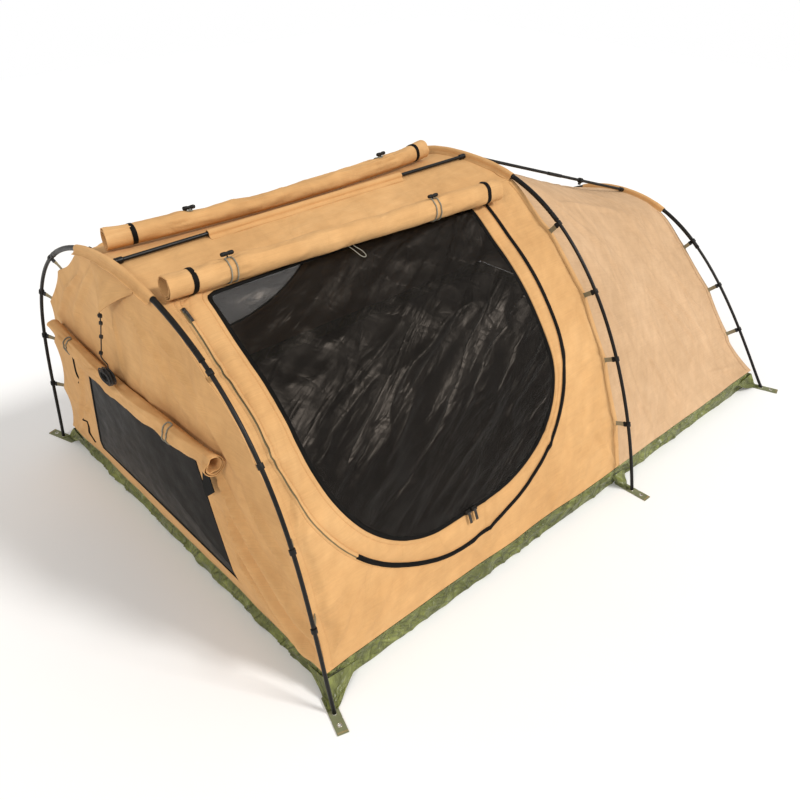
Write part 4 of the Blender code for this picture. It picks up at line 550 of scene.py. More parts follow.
# Hoops and bays, by the part's own rules
class Hoop:
    def __init__(self, name):
        (self.foot_x, self.base_x, self.lean, self.half_width, self.toe, self.height,
         self.rise_power, self.width_power, self.clips) = HOOPS[name]
        self.name = name
        self.foot_height = PEG_TAB_SKIN + SEAM_GAP
        self.top = np.array([self.foot_x + self.lean, 0, self.height])

    def point(self, share, side):
        share = np.asarray(share, float)
        spread = np.maximum(1 - share ** self.rise_power, 0) ** (1 / self.width_power)
        across = (self.half_width - self.toe) * spread + self.toe * (1 - share) ** 2
        up = self.foot_height + (self.height - self.foot_height) * share
        return np.stack([self.foot_x + self.lean * share, side * across, up], axis=-1)

    def half_line(self, side, count=PROFILE):
        return self.point(np.sin(np.linspace(0, math.pi / 2, count + 1)), side)

    def skin_x(self, up):
        top = self.height - SLEEVE_DROP
        share = (up - SKIRT_HEIGHT) / (top - SKIRT_HEIGHT)
        return self.base_x + (self.foot_x + self.lean - self.base_x) * share

    def skin_profile(self):
        line = self.half_line(NEAR)
        t = tangents(line)
        along = distances(line)
        ease = smooth((along[-1] - along - SLEEVE_HALF_LENGTH) / DROP_EASE_LENGTH)
        drop = SLEEVE_DROP + (HOOP_TO_CANVAS - SLEEVE_DROP) * ease
        across, up = line[:, 1] + t[:, 2] * drop, line[:, 2] - t[:, 1] * drop
        keep = up > SKIRT_HEIGHT + 0.080
        profile = [(-HALF_WIDTH, SKIRT_HEIGHT)] + list(zip(np.minimum(across[keep], 0.0), up[keep]))
        profile[-1] = (0.0, profile[-1][1])
        flat = resample(profile, PROFILE)
        return np.stack([self.skin_x(flat[:, 1]), flat[:, 0], flat[:, 1]], axis=1)


def round_bay(share, side):
    """A share of the way up a wall as a place round the bay."""
    return share if side == NEAR else 2 - share


class Bay:
    """Canvas between two hoops. along runs 0 to 1; round runs 0 near, 1 ridge, 2 far."""

    def __init__(self, start, end, bow, sag):
        self.warp = None
        self.start, self.end = start.skin_profile(), end.skin_profile()
        self.bow, self.sag = bow, sag
        self.length = float(np.mean(self.end[:, 0] - self.start[:, 0]))
        self.arc = (length_of(self.start) + length_of(self.end)) / 2

    def flat(self, along, share):
        places = np.linspace(0, 1, PROFILE + 1)
        a, b = (interpolated(share, places, line) for line in (self.start, self.end))
        return a * (1 - along)[..., None] + b * along[..., None]

    def frame(self, along, turn):
        """Places on the skin and its outward directions."""
        along, turn = np.broadcast_arrays(np.asarray(along, float), np.asarray(turn, float))
        share = np.minimum(turn, 2 - turn)
        place = self.flat(along, share)
        t = self.flat(along, np.clip(share + 0.006, 0, 1)) - self.flat(along, np.clip(share - 0.006, 0, 1))
        out = unit(np.stack([np.zeros_like(share), -t[..., 2], t[..., 1]], axis=-1))
        low, top = smooth(share, 0.0, 0.02)[..., None], smooth(share, 0.985, 1.0)[..., None]
        out = unit(out * low + np.array([0, -1.0, 0]) * (1 - low))
        out = unit(out * (1 - top) + UP * top)
        for values in (place, out):
            values[..., 1] = np.where(turn > 1, -values[..., 1], values[..., 1])
        span = 4 * along * (1 - along)
        inward = self.bow * span * np.sin(np.pi * share) + self.sag * span * share ** 2
        return place - out * inward[..., None], out

    def point(self, along, turn, lift=0.0):
        place, out = self.frame(along, turn)
        return place + out * np.asarray(lift, float)[..., None]

    def lengths(self, run, rise, side=NEAR, lift=0.0):
        """A place by metres from the head seam and metres up from the tub."""
        run, rise = np.asarray(run, float), np.asarray(rise, float)
        if self.warp is not None:
            run = run + self.warp(run, rise)
        return self.point(run / self.length, round_bay(rise / self.arc, side), lift)

    def normals(self, run, rise, side):
        return self.frame(run / self.length, round_bay(rise / self.arc, side))[1]


head, mid, foot = (Hoop(name) for name in ("head", "mid", "foot"))
SIDE_BOW, CANOPY_SAG = 0.012, 0.030
main_bay = Bay(head, mid, SIDE_BOW, 0.0)
foot_bay = Bay(mid, foot, SIDE_BOW, CANOPY_SAG)

# Outlines on a door wall, as four sides with matching counts
SIDE_N, BASE_N, TOP_N = 84, 92, 36
DOOR_TOP = main_bay.arc - 0.226
# limits (run and rise), then the size of the head and foot corners
DOOR = ((0.116, main_bay.length - 0.229, 0.187, DOOR_TOP), (0.350, 0.430), (0.400, 0.330))
ZIP = ((0.044, main_bay.length - 0.172, 0.096, DOOR_TOP + 0.012), (0.500, 0.510), (0.560, 0.490))


def four_sides(lines):
    counts = (SIDE_N, BASE_N, SIDE_N, TOP_N)
    return np.vstack([resample(line, count)[:-1] for line, count in zip(lines, counts)])


def arc_points(centre, run, rise, start_deg, steps=24):
    a = np.radians(start_deg + 90 * np.linspace(0, 1, steps + 1))
    return np.stack([centre[0] + run * np.cos(a), centre[1] + rise * np.sin(a)], axis=1)


def rounded(limits, head_corner, foot_corner, shrink):
    x0, x1, s0, s1 = limits[0] + shrink, limits[1] - shrink, limits[2] + shrink, limits[3] - shrink
    top = max(0.030 - shrink, 0.002)
    (hr, hs), (fr, fs) = ([size - shrink for size in corner] for corner in (head_corner, foot_corner))
    corners = [arc_points((x0 + top, s1 - top), top, top, 90), arc_points((x0 + hr, s0 + hs), hr, hs, 180),
               arc_points((x1 - fr, s0 + fs), fr, fs, 270), arc_points((x1 - top, s1 - top), top, top, 0)]
    return four_sides([np.vstack([a[len(a) // 2:], b[:len(b) // 2 + 1]])
                       for a, b in zip(corners, corners[1:] + corners[:1])])


def door_line(shrink):
    return rounded(*DOOR, shrink)


def zip_line(shrink):
    return rounded(*ZIP, shrink)


def strips(outline, stations):
    """Rows of an outline for (inset, lift) stations, and their lifts as a column."""
    insets, lifts = zip(*stations)
    return np.array([outline(inset) for inset in insets]), np.array(lifts)[:, None]


def both(rows):
    return rows[..., 0], rows[..., 1]


def clip_rises(hoop, bay):
    """How far up the canvas each clip of a hoop sits, in metres from the tub."""
    profile = hoop.skin_profile()
    share = distances(profile)
    share = share / share[-1]
    poles = [hoop.point(height, NEAR)[1:] for height in hoop.clips]
    nearest_rows = [np.argmin(np.linalg.norm(profile[:, 1:] - pole, axis=1)) for pole in poles]
    return [float(share[row]) * bay.arc for row in nearest_rows]


HEAD_CLIPS, MID_CLIPS = clip_rises(head, main_bay), clip_rises(mid, main_bay)
MID_FOOT_CLIPS, FOOT_CLIPS = clip_rises(mid, foot_bay), clip_rises(foot, foot_bay)
WALL_TOP_SHARE = 1 - ROOF_HALF / main_bay.arc
CANOPY_TOP_SHARE = 0.86
# How far a held seam falls in, or is drawn along, between its clips
HEAD_DROP, HEAD_DRAW, MID_DROP, FOOT_DROP, FOOT_DRAW = 0.008, 0.009, 0.007, 0.004, 0.005
SEAM_REACH = 0.15
# Folds die out over this length before a seam, and over this one before an end panel's edge
SEAM_EASE, PANEL_EASE = 0.05, 0.06


def seam_drop(rise, arc, clips, depth, top_share=WALL_TOP_SHARE):
    """How far a held seam falls in between its clips."""
    marks = [0.0] + list(clips) + [top_share * arc]
    total = np.zeros_like(np.asarray(rise, float))
    for low, high in zip(marks, marks[1:]):
        t = np.clip((rise - low) / (high - low), 0, 1)
        total = total + depth * 4 * t * (1 - t) * ((rise >= low) & (rise <= high))
    return total


def near_seam(distance):
    return 1 - smooth(distance, 0.0, SEAM_REACH)


def pull_creases(run, rise, points, reach, height, seed):
    """Creases that spread from the points where a seam is held."""
    total = np.zeros_like(run)
    for k, (x0, s0) in enumerate(points):
        dx, ds = run - x0, rise - s0
        away = np.hypot(dx, ds)
        rays = np.cos(np.arctan2(ds, dx) * (7 + k % 3) + seed + 1.7 * k)
        total = total + height * rays * smooth(away, 0.0, 0.04) * bell(away, reach)
    return total


def tub_seam_wave(place, half, pitch, seed):
    """Waver of the canvas where it meets the tub, gone at the corners."""
    height = 0.0042 * smooth(half - np.abs(place), 0.0, 0.10)
    return height * layered(place / pitch, np.zeros_like(place), seed, 2)


def side_wave(place, side):
    return tub_seam_wave(place, HALF_LENGTH, 0.19, 411 if side == NEAR else 431)


def end_wave(place, end):
    return tub_seam_wave(place, HALF_WIDTH, 0.17, 451 if end < 0 else 461)


def head_seam_drop(rise, depth):
    return seam_drop(rise, main_bay.arc, HEAD_CLIPS, depth)


main_bay.warp = lambda run, rise: head_seam_drop(rise, HEAD_DRAW) * near_seam(run)

WALL_FOLDS = (
    (0.02, 0.02, 0.20, 0.24, 0.014, 0.004, 0.01), (0.10, 0.0, 0.27, 0.16, 0.012, 0.003, 0.0),
    (0.0, 0.30, 0.10, 0.60, 0.012, 0.003, 0.01), (1.24, 0.02, 1.12, 0.30, 0.014, 0.004, 0.01),
    (1.27, 0.30, 1.20, 0.62, 0.012, 0.0035, -0.01), (0.60, 0.0, 0.55, 0.09, 0.014, 0.003, 0.0),
    (0.90, 0.0, 0.97, 0.12, 0.014, 0.003, 0.0), (1.05, 0.0, 1.13, 0.20, 0.012, 0.003, 0.0))


def wall_relief(run, rise, side):
    """Folds of a side wall, in metres out of the skin."""
    seed = 5 if side == NEAR else 61
    length, arc = main_bay.length, main_bay.arc
    total = 0.0052 * layered(run / 0.30, rise / 0.26, seed, 2)
    # upright folds that fall from the zip to the tub
    low = 1 - smooth(rise, 0.10, 0.42)
    drift = 0.6 * noise2(run / 0.3, rise / 0.2, seed + 3)
    total += 0.0040 * low * ridged(run / 0.085 + drift, rise / 0.55, seed + 1)
    total += 0.0016 * layered(run / 0.055, rise / 0.12, seed + 9, 2)
    # a fold runs up beside each hoop
    for place, lean in ((0.065, 0.4), (1.215, -0.3)):
        bend = place + 0.02 * np.sin(rise * 6 + lean * 5)
        total += 0.0045 * bell(run - bend, 0.016) * (0.6 + 0.4 * noise2(rise / 0.14, 0 * rise, seed + 21))
    held = [(0.0, s) for s in HEAD_CLIPS] + [(length, s) for s in MID_CLIPS]
    total += pull_creases(run, rise, held, 0.100, 0.0034, seed)
    total = add_folds(total, run, rise, WALL_FOLDS, 1.6)
    total = total + scatter_folds(run, rise, (0.0, length, 0.0, 1.0), 26, seed + 30, 1.35, 0.5, 0.0030)
    edge = np.minimum(np.minimum(run, length - run), np.minimum(rise, arc - ROOF_HALF - rise))
    total = total * smooth(edge, 0.0, SEAM_EASE)
    total -= head_seam_drop(rise, HEAD_DROP) * near_seam(run)
    total -= seam_drop(rise, arc, MID_CLIPS, MID_DROP) * near_seam(length - run)
    place = head.base_x + run * (mid.base_x - head.base_x) / length
    return total + side_wave(place, side) * (1 - smooth(rise, 0.0, 0.11))


def wall_skin(name, rows, side, lift, thickness, material, slot, **extra):
    """A skin on a side wall, from rows of (run, rise) points and their lift off the canvas."""
    run, rise = both(rows)
    return skin(name, main_bay.lengths(run, rise, side, lift), thickness, material, slot,
                out=main_bay.normals(run, rise, side), uv=rows, **extra)


def build_wall(side):
    name = WORD[side]
    x0, x1, s0, s1 = SEAM_GAP, main_bay.length - SEAM_GAP / 2, 0.0, main_bay.arc - ROOF_HALF - SEAM_GAP
    corners = [(x0, s1), (x0, s0), (x1, s0), (x1, s1)]
    edge = four_sides(zip(corners, corners[1:] + corners[:1]))
    hem = 0.0011

    def border(first, last, count, puff):
        """Rows from one outline to the next, a little full in their middle."""
        shares = np.linspace(0, 1, count)[1:]
        return [first + (last - first) * s for s in shares], [puff * math.sin(math.pi * s) for s in shares]

    hemmed, hem_lift = strips(door_line, ((-0.0004, -0.0012), (-0.0012, hem), (-0.006, hem), (-0.0115, hem),
                                          (-0.0125, 0.0)))
    inner, inner_lift = border(hemmed[-1], zip_line(0.0085), 11, 0.0050)
    # turned edges each side of the zip
    turned, turned_lift = strips(zip_line, ((0.0078, hem), (0.0050, hem), (0.0044, -0.0004),
                                            (-0.0044, -0.0004), (-0.0050, hem), (-0.0105, hem),
                                            (-0.0112, 0.0)))
    outer, outer_lift = border(turned[-1], edge, 27, 0.0)
    rows = np.vstack([hemmed, inner, turned, outer])
    lift = np.concatenate([hem_lift[:, 0], inner_lift, turned_lift[:, 0], outer_lift])[:, None]
    lift = lift + wall_relief(*both(rows), side) - CANVAS / 2
    wall_skin(name + "_wall_cloth", rows, side, lift, CANVAS_SKIN, canvas, "canvas", closed=True,
              replaces=[name + "_wall"], sharp=50)
    stitches = Parts()
    for outline, insets in ((door_line, (-0.0030, -0.0095)), (zip_line, (-0.0070, -0.0095, 0.0068))):
        for inset in insets:
            add_stitches(stitches, outline(inset), side)
    stitches.make(name + "_wall_stitching", thread, "canvas", sharp=60)


def add_stitches(parts, line, side, pitch=0.006):
    """Short raised stitches along an outline on a side wall."""
    run, rise = both(resample(line, int(length_of(line) / (pitch / 2)), closed=True))
    places = main_bay.lengths(run, rise, side, wall_relief(run, rise, side) + 0.0027 - CANVAS / 2)
    out = main_bay.normals(run, rise, side)
    faces = [[0, 1, 2, 3], [4, 7, 6, 5], [0, 4, 5, 1], [1, 5, 6, 2], [2, 6, 7, 3], [3, 7, 4, 0]]
    for k in range(0, len(places) - 1, 2):
        a, b = places[k], places[k + 1]
        t = unit(b - a)
        w = unit(np.cross(t, out[k])) * 0.0004
        crest, slope, wide = (a + b) / 2 + out[k] * 0.0005, t * 0.0011, w * 0.6
        parts.add(np.array([a - w, a + w, b + w, b - w, crest - wide - slope, crest + wide - slope,
                            crest + wide + slope, crest - wide + slope]), faces)


def mesh_relief(run, rise, side):
    """Slack satin folds in a mesh door, running down and to one side."""
    seed = 23 if side == NEAR else 47
    turn = math.radians(27)
    a = run * math.cos(turn) + rise * math.sin(turn)
    b = -run * math.sin(turn) + rise * math.cos(turn)
    warp = 0.35 * noise2(run / 0.22, rise / 0.22, seed + 4)
    total = 0.0050 * ridged(b / 0.095 + warp, a / 0.42, seed)
    total += 0.0030 * ridged(b / 0.042 + warp * 2, a / 0.20, seed + 1)
    total += 0.0014 * layered(run / 0.050, rise / 0.050, seed + 2, 3)
    # a slack sheet hangs in level ripples below its top edge and near the head side
    total += 0.0040 * smooth(rise, 0.70, 1.05) * noise2(run / 0.20, rise / 0.050 + run / 0.3, seed + 7)
    lower = (1 - smooth(rise, 0.25, 0.60)) * (1 - smooth(run, 0.30, 0.70))
    total += 0.0030 * lower * noise2(run / 0.10, rise / 0.030 - run / 0.15, seed + 8)
    return total


def build_mesh_door(side):
    name = WORD[side]
    hub = door_line(SEAM_GAP).mean(axis=0)
    inner = door_line(SEAM_GAP + 0.012)
    rows = np.array([inner + (hub - inner) * s for s in [*np.linspace(0, 1, 74)[:-1] ** 0.92, 0.999]])
    away = np.linalg.norm(rows - inner[None], axis=-1)
    lift = mesh_relief(*both(rows), side) * smooth(away, 0.0, 0.06) - 0.0018 - 0.004 * smooth(away, 0.0, 0.25)
    wall_skin(name + "_door_net", rows, side, lift, NET_SKIN, door_net, "insect_mesh", closed=True,
              replaces=[name + "_door_mesh"], sharp=70)
    # bound edge with its zip coil
    rows, lifts = strips(door_line, ((0.0004, 0.0), (0.0020, 0.0006), (0.0034, 0.0018), (0.0050, 0.0020),
                                     (0.0062, 0.0018), (0.0076, 0.0006), (0.0118, 0.0004), (0.0128, 0.0)))
    run, rise = both(rows)
    lift = lifts + wall_relief(run, rise, side) * 0.5 - 0.0016
    # it lies a little lower where the foot slider stops, clear of its plate
    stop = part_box("mesh_foot_slider")[1][0] + SLIDER_RUN + HALF_LENGTH
    lift = lift - 0.0012 * bell(run - stop, 0.035) * (1 - smooth(rise - rise.min(), 0.015, 0.05))
    wall_skin(name + "_door_binding", rows, side, lift, BINDING_SKIN, binding, "insect_mesh", closed=True,
              sharp=60)


def zip_strip(name, side, keep, cloth, coil, wide=1.0, **extra):
    """One length of zip: woven tape with a raised coil down its middle."""
    half = ((-0.0046, 0.0), (-0.0026, 0.0005), (-0.0019, 0.0016))
    stations = half + ((0.0, 0.0022),) + tuple((-inset, lift) for inset, lift in half[::-1])
    rows, lifts = strips(lambda inset: zip_line(inset * wide)[keep], stations)
    lift = lifts + wall_relief(*both(rows), side) + 0.0006 * wide ** 3
    wall_skin(name + "_tape", rows, side, lift, ZIP_SKIN, cloth, "zip", sharp=60, **extra)
    line = zip_line(0.0)[keep]
    run, rise = both(resample(line, int(length_of(line) / 0.0032)))
    places = main_bay.lengths(run, rise, side, wall_relief(run, rise, side) + 0.0029)
    out = main_bay.normals(run, rise, side)
    t = tangents(places)
    teeth = Parts()
    for place, along, up in zip(places, t, out):
        teeth.box(place, (np.cross(along, up), along, up), (0.0040, 0.0019, 0.0012), 0.0003)
    teeth.make(name + "_teeth", coil, "zip", sharp=40)
    return places, t, out


def build_door_zip(side):
    """Outer zip round three sides of the door: olive down the head side, black round the rest."""
    name = WORD[side]
    turn = SIDE_N - 3
    head_stretch = slice(3, turn + 1)
    places, t, out = zip_strip(name + "_zip_head", side, head_stretch, tape_olive, zip_olive,
                               replaces=[name + "_door_zip"])
    zip_strip(name + "_zip_foot", side, slice(turn, 2 * SIDE_N + BASE_N - 3), binding, zip_coil, 1.5)
    # storm flap beside the head stretch of the zip
    rows, lifts = strips(lambda inset: zip_line(inset)[head_stretch],
                         ((0.0070, 0.0), (0.0066, 0.0014), (0.0040, 0.0030), (0.0004, 0.0040),
                          (-0.0014, 0.0036)))
    run, rise = both(rows)
    ripple = 0.0010 * noise2(rise / 0.05, run / 0.05, 77) * np.array([0, 0, 0.3, 1, 1])[:, None]
    lift = lifts + wall_relief(run, rise, side) + 0.0012 + ripple
    wall_skin(name + "_zip_flap", rows, side, lift, TAPE_SKIN, canvas_trim, "canvas", sharp=60)
    # the slider is parked at the top of the head side
    parked = Parts()
    place, along, up = places[2], t[2], out[2]
    for raised, ahead, sizes, bevel in ((0.0030, 0.0, (0.0105, 0.0150, 0.0042), 0.0018),
                                        (0.0062, 0.0, (0.0035, 0.0100, 0.0024), 0.0008),
                                        (0.0064, 0.020, (0.0080, 0.0300, 0.0020), 0.0008)):
        parked.box(place + up * raised + along * ahead, (np.cross(along, up), along, up), sizes, bevel)
    parked.make(name + "_zip_slider", zip_metal, "zip", sharp=35)


# Roof and foot canopy
def build_roof():
    bay = main_bay
    half = (ROOF_HALF - SEAM_GAP) / bay.arc
    a, r = grid_of(np.linspace(SEAM_GAP / bay.length, 1 - SEAM_GAP / 2 / bay.length, 150),
                   1 + np.linspace(-half, half, 61))
    run, across = a * bay.length, (r - 1) * bay.arc
    relief = 0.0030 * layered(run / 0.25, across / 0.16, 71, 3)
    relief += 0.0012 * noise2(run / 0.05, across / 0.2, 72)
    edge = np.minimum(np.minimum(run, bay.length - run), ROOF_HALF - np.abs(across))
    relief = (relief - 0.0030) * smooth(edge, 0.0, SEAM_EASE) * smooth(np.abs(across), 0.012, 0.06)
    seam = 0.0009 * (np.abs(np.abs(across) - (ROOF_HALF - 0.007)) < 0.006)
    grid, out = bay.frame(a, r)
    grid = grid + out * (relief + seam - CANVAS / 2)[..., None]
    skin("roof_cloth", grid, CANVAS_SKIN, canvas, "canvas", out=out, uv=np.stack([run, across], axis=-1),
         replaces=["roof_panel"], sharp=50)


def foot_seam_drop(rise, depth):
    return seam_drop(rise, foot_bay.arc, FOOT_CLIPS, depth, CANOPY_TOP_SHARE)


CANOPY_FOLDS = (
    (0.46, 0.52, 0.70, 0.24, 0.010, 0.0040, 0.015), (0.52, 0.42, 0.62, 0.18, 0.008, 0.0030, -0.01),
    (0.62, 0.46, 0.80, 0.22, 0.009, 0.0030, 0.01), (0.20, 0.86, 0.62, 0.86, 0.016, 0.0040, 0.02),
    (0.05, 0.95, 0.30, 0.70, 0.016, 0.0040, 0.0), (0.70, 0.10, 0.92, 0.05, 0.012, 0.0030, 0.0),
    (0.30, 0.30, 0.44, 0.05, 0.014, 0.0035, 0.0), (0.10, 0.30, 0.16, 0.02, 0.012, 0.0030, 0.0))


def canopy_relief(run, rise):
    """Folds over the foot bay; rise is measured from the near tub edge over the ridge."""
    length, arc = foot_bay.length, foot_bay.arc
    side = np.minimum(rise, 2 * arc - rise)
    total = 0.0065 * layered(run / 0.30, rise / 0.24, 31, 2)
    total += 0.0018 * layered(run / 0.06, rise / 0.11, 33, 2)
    total += 0.0040 * (1 - smooth(side, 0.05, 0.32)) * ridged(run / 0.09, rise / 0.6, 35)
    held = [(0.0, s) for s in MID_FOOT_CLIPS] + [(length, s) for s in FOOT_CLIPS]
    total += pull_creases(run, side, held, 0.105, 0.0038, 3)
    total = add_folds(total, run, side, CANOPY_FOLDS, 1.7)
    total = total + scatter_folds(run, side, (0.05, length - 0.15, 0.05, 1.15), 34, 71, 1.9, 0.6, 0.0034)
    total = total * smooth(np.minimum(np.minimum(run, length - run), side), 0.0, SEAM_EASE)
    total -= seam_drop(side, arc, MID_FOOT_CLIPS, MID_DROP) * near_seam(run)
    total -= foot_seam_drop(side, FOOT_DROP) * near_seam(length - run)
    place = mid.base_x + run * (foot.base_x - mid.base_x) / length
    wave = np.where(rise <= arc, side_wave(place, NEAR), side_wave(place, FAR))
    return total + wave * (1 - smooth(side, 0.0, 0.11))


def foot_pull(side):
    """How far the foot seam draws back between its clips and below its sleeve."""
    return foot_seam_drop(side, FOOT_DRAW) + 0.010 * smooth(side, 0.78 * foot_bay.arc, foot_bay.arc)


def build_canopy():
    bay = foot_bay
    a, r = grid_of(np.linspace(SEAM_GAP / 2 / bay.length, 1 - SEAM_GAP / bay.length, 150),
                   np.linspace(0, 2, 321))
    rise = r * bay.arc
    side = np.minimum(rise, 2 * bay.arc - rise)
    drawn = foot_pull(side)
    run = a * bay.length - drawn * smooth(a, 0.75, 1.0)
    hem = 0.0010 * ((bay.length - run - drawn) < 0.014) + 0.0010 * (run < 0.014) + 0.0009 * (side < 0.012)
    grid, out = bay.frame(run / bay.length, r)
    grid = grid + out * (canopy_relief(run, rise) + hem - CANVAS / 2)[..., None]
    skin("foot_canopy_cloth", grid, CANVAS_SKIN, lit_foot_canvas, "canvas", out=out,
         uv=np.stack([run, rise], axis=-1), replaces=["foot_canopy"], sharp=50)


# End panels
def panel_edge(hoop, arch_count, base_count):
    """The closed edge of an end panel: its arch first, then its base."""
    profile = hoop.skin_profile()[:, 1:]
    arch = resample(np.vstack([profile, (profile[::-1] * np.array([-1, 1]))[1:]]), arch_count)
    return np.vstack([arch, resample([arch[-1], arch[0]], base_count)[1:-1]])


def ray_hit(outline, centre, spokes):
    """How far rays from a centre run to a closed outline that goes round it once."""
    ang = np.arctan2(outline[:, 1] - centre[1], outline[:, 0] - centre[0])
    order = np.argsort(ang)
    ang, reach = ang[order], np.linalg.norm(outline[order] - centre, axis=1)
    ang = np.concatenate([ang - math.tau, ang, ang + math.tau])
    return np.interp(np.arctan2(spokes[..., 1], spokes[..., 0]), ang, np.tile(reach, 3))


def edge_pull(edge, arch_count, bay, end, drop, draw, edge_gap):
    """An end panel's edge, drawn in with the seams of the walls beside it and the tub's top."""
    round_arch = np.linspace(0, 2, arch_count)
    rise = np.minimum(round_arch, 2 - round_arch) * bay.arc
    shift = np.zeros((len(edge), 3))
    shift[:arch_count] = -bay.frame(np.full(arch_count, max(end, 0)), round_arch)[1] * drop(rise)[:, None]
    shift[:arch_count, 0] -= end * draw(rise)
    shift[arch_count:, 0] += end * end_wave(edge[arch_count:, 0], end)
    return shift[None] * (1 - smooth(edge_gap, 0.0, 0.12))[..., None]


WINDOW = np.array(((-0.405, 0.165), (-0.305, 0.545), (0.305, 0.545), (0.405, 0.165)))
WINDOW_CENTRE = np.array([0.0, 0.355])
HEAD_ARCH = 420
HEAD_EDGE = panel_edge(head, HEAD_ARCH, 160)
HEAD_OUTLINE, WINDOW_OUTLINE = round_trip(HEAD_EDGE, 6), round_trip(WINDOW, 400)
HEAD_SIDE = (-1, 0, 0)
HEAD_FOLDS = (
    (-0.42, 0.40, -0.70, 0.06, 0.016, 0.0100, 0.012), (-0.40, 0.54, -0.73, 0.13, 0.015, 0.0090, 0.014),
    (-0.44, 0.28, -0.66, 0.05, 0.012, 0.0076, 0.0), (-0.52, 0.52, -0.74, 0.22, 0.013, 0.0060, 0.0),
    (0.36, 0.52, 0.64, 0.14, 0.013, 0.0048, -0.01), (0.42, 0.34, 0.66, 0.09, 0.013, 0.0046, -0.01),
    (0.10, 0.92, 0.34, 0.66, 0.014, 0.0045, 0.01), (-0.06, 0.88, -0.30, 0.66, 0.012, 0.0040, 0.0),
    (0.20, 0.88, 0.50, 0.62, 0.012, 0.0038, 0.01), (-0.20, 0.84, -0.50, 0.58, 0.012, 0.0036, 0.0),
    (-0.30, 0.56, -0.10, 0.62, 0.012, 0.0034, 0.0), (0.02, 0.80, 0.01, 0.64, 0.010, 0.0030, 0.0))


def on_head_panel(across, up, push=0.0):
    """Points on the head panel's outer face, pushed out by so much."""
    spoke = np.stack([across, up], axis=-1) - WINDOW_CENTRE
    reach = np.linalg.norm(spoke, axis=-1)
    share = np.minimum(reach / ray_hit(HEAD_OUTLINE, WINDOW_CENTRE, spoke), 1.0)
    return np.stack([head.skin_x(up) - HEAD_BULGE * (1 - share ** 2) - CANVAS - push, across, up], axis=-1)


def window_ring(grow):
    """The window's edge, one point for each of the panel's edge points."""
    dense = WINDOW_OUTLINE + unit(WINDOW_OUTLINE - WINDOW_CENTRE) * grow
    spoke = HEAD_EDGE - WINDOW_CENTRE
    return WINDOW_CENTRE + unit(spoke) * ray_hit(dense, WINDOW_CENTRE, spoke)[:, None]


def head_relief(across, up, edge_gap, window_gap):
    """Folds of the head panel: creases from the window's corners to the hoop's feet."""
    total = 0.0060 * layered(across / 0.26, up / 0.26, 91, 2)
    total += 0.0017 * layered(across / 0.06, up / 0.10, 93, 2)
    total = add_folds(total, across, up, HEAD_FOLDS, 2.0)
    total = total + scatter_folds(across, up, (-0.65, 0.65, 0.08, 0.80), 30, 83, 1.5, 0.8, 0.0036)
    return total * smooth(edge_gap, 0.0, PANEL_EASE) * (0.25 + 0.75 * smooth(window_gap, 0.0, PANEL_EASE))


def head_skin(name, rows, lift, thickness, material, slot, push=0.0, pull=0.0, **extra):
    """A skin on the head panel, from rows of (across, up) points and their lift."""
    grid = on_head_panel(*both(rows), push)
    grid[..., 0] -= lift
    skin(name, grid + pull, thickness, material, slot, out=HEAD_SIDE, uv=rows, **extra)


def build_head_panel():
    rim, lifts = strips(window_ring, ((0.0006, -0.0010), (0.0016, 0.0011), (0.0160, 0.0011), (0.0172, 0.0)))
    spread = [rim[-1] + (HEAD_EDGE - rim[-1]) * share for share in np.linspace(0, 1, 44)[1:]]
    rows = np.vstack([rim, spread])
    lift = np.zeros((len(rows), 1))
    lift[:len(lifts)] = lifts
    edge_gap, window_gap = (np.linalg.norm(rows - line, axis=-1) for line in (HEAD_EDGE[None], rows[:1]))
    pull = edge_pull(HEAD_EDGE, HEAD_ARCH + 1, main_bay, -1, lambda rise: head_seam_drop(rise, HEAD_DROP),
                     lambda rise: head_seam_drop(rise, HEAD_DRAW), edge_gap)
    lift = lift + head_relief(*both(rows), edge_gap, window_gap)
    head_skin("head_panel_cloth", rows, lift, CANVAS_SKIN, canvas, "canvas", -CANVAS / 2, pull, closed=True,
              replaces=["head_panel"], sharp=50)
    ring = window_ring(-0.0006)
    rows = np.array([ring + (WINDOW_CENTRE - ring) * s for s in np.linspace(0, 0.999, 40)])
    across, up = both(rows)
    gap = np.linalg.norm(rows - ring[None], axis=-1)
    relief = 0.0030 * layered(across / 0.16, up / 0.12, 101, 3) * smooth(gap, 0, PANEL_EASE)
    head_skin("head_window_net", rows, relief - 0.0005, NET_SKIN, window_net, "insect_mesh",
              -CANVAS / 2 + 0.0004, closed=True, replaces=["head_window_mesh"], sharp=70)
    # black binding just inside the window's edge
    rows, lifts = strips(window_ring, ((0.0004, 0.0), (-0.0008, 0.0012), (-0.0080, 0.0012), (-0.0090, 0.0)))
    head_skin("head_window_binding", rows, lifts - 0.0005, ZIP_SKIN, binding, "insect_mesh",
              -CANVAS / 2 + 0.0010, closed=True, sharp=60)


PANEL_ZIPS = (((0.516, 0.560), (0.452, 0.548), (0.447, 0.500), (0.462, 0.425), (0.436, 0.412)),
              ((0.522, 0.222), (0.492, 0.212), (0.505, 0.172), (0.486, 0.140)))


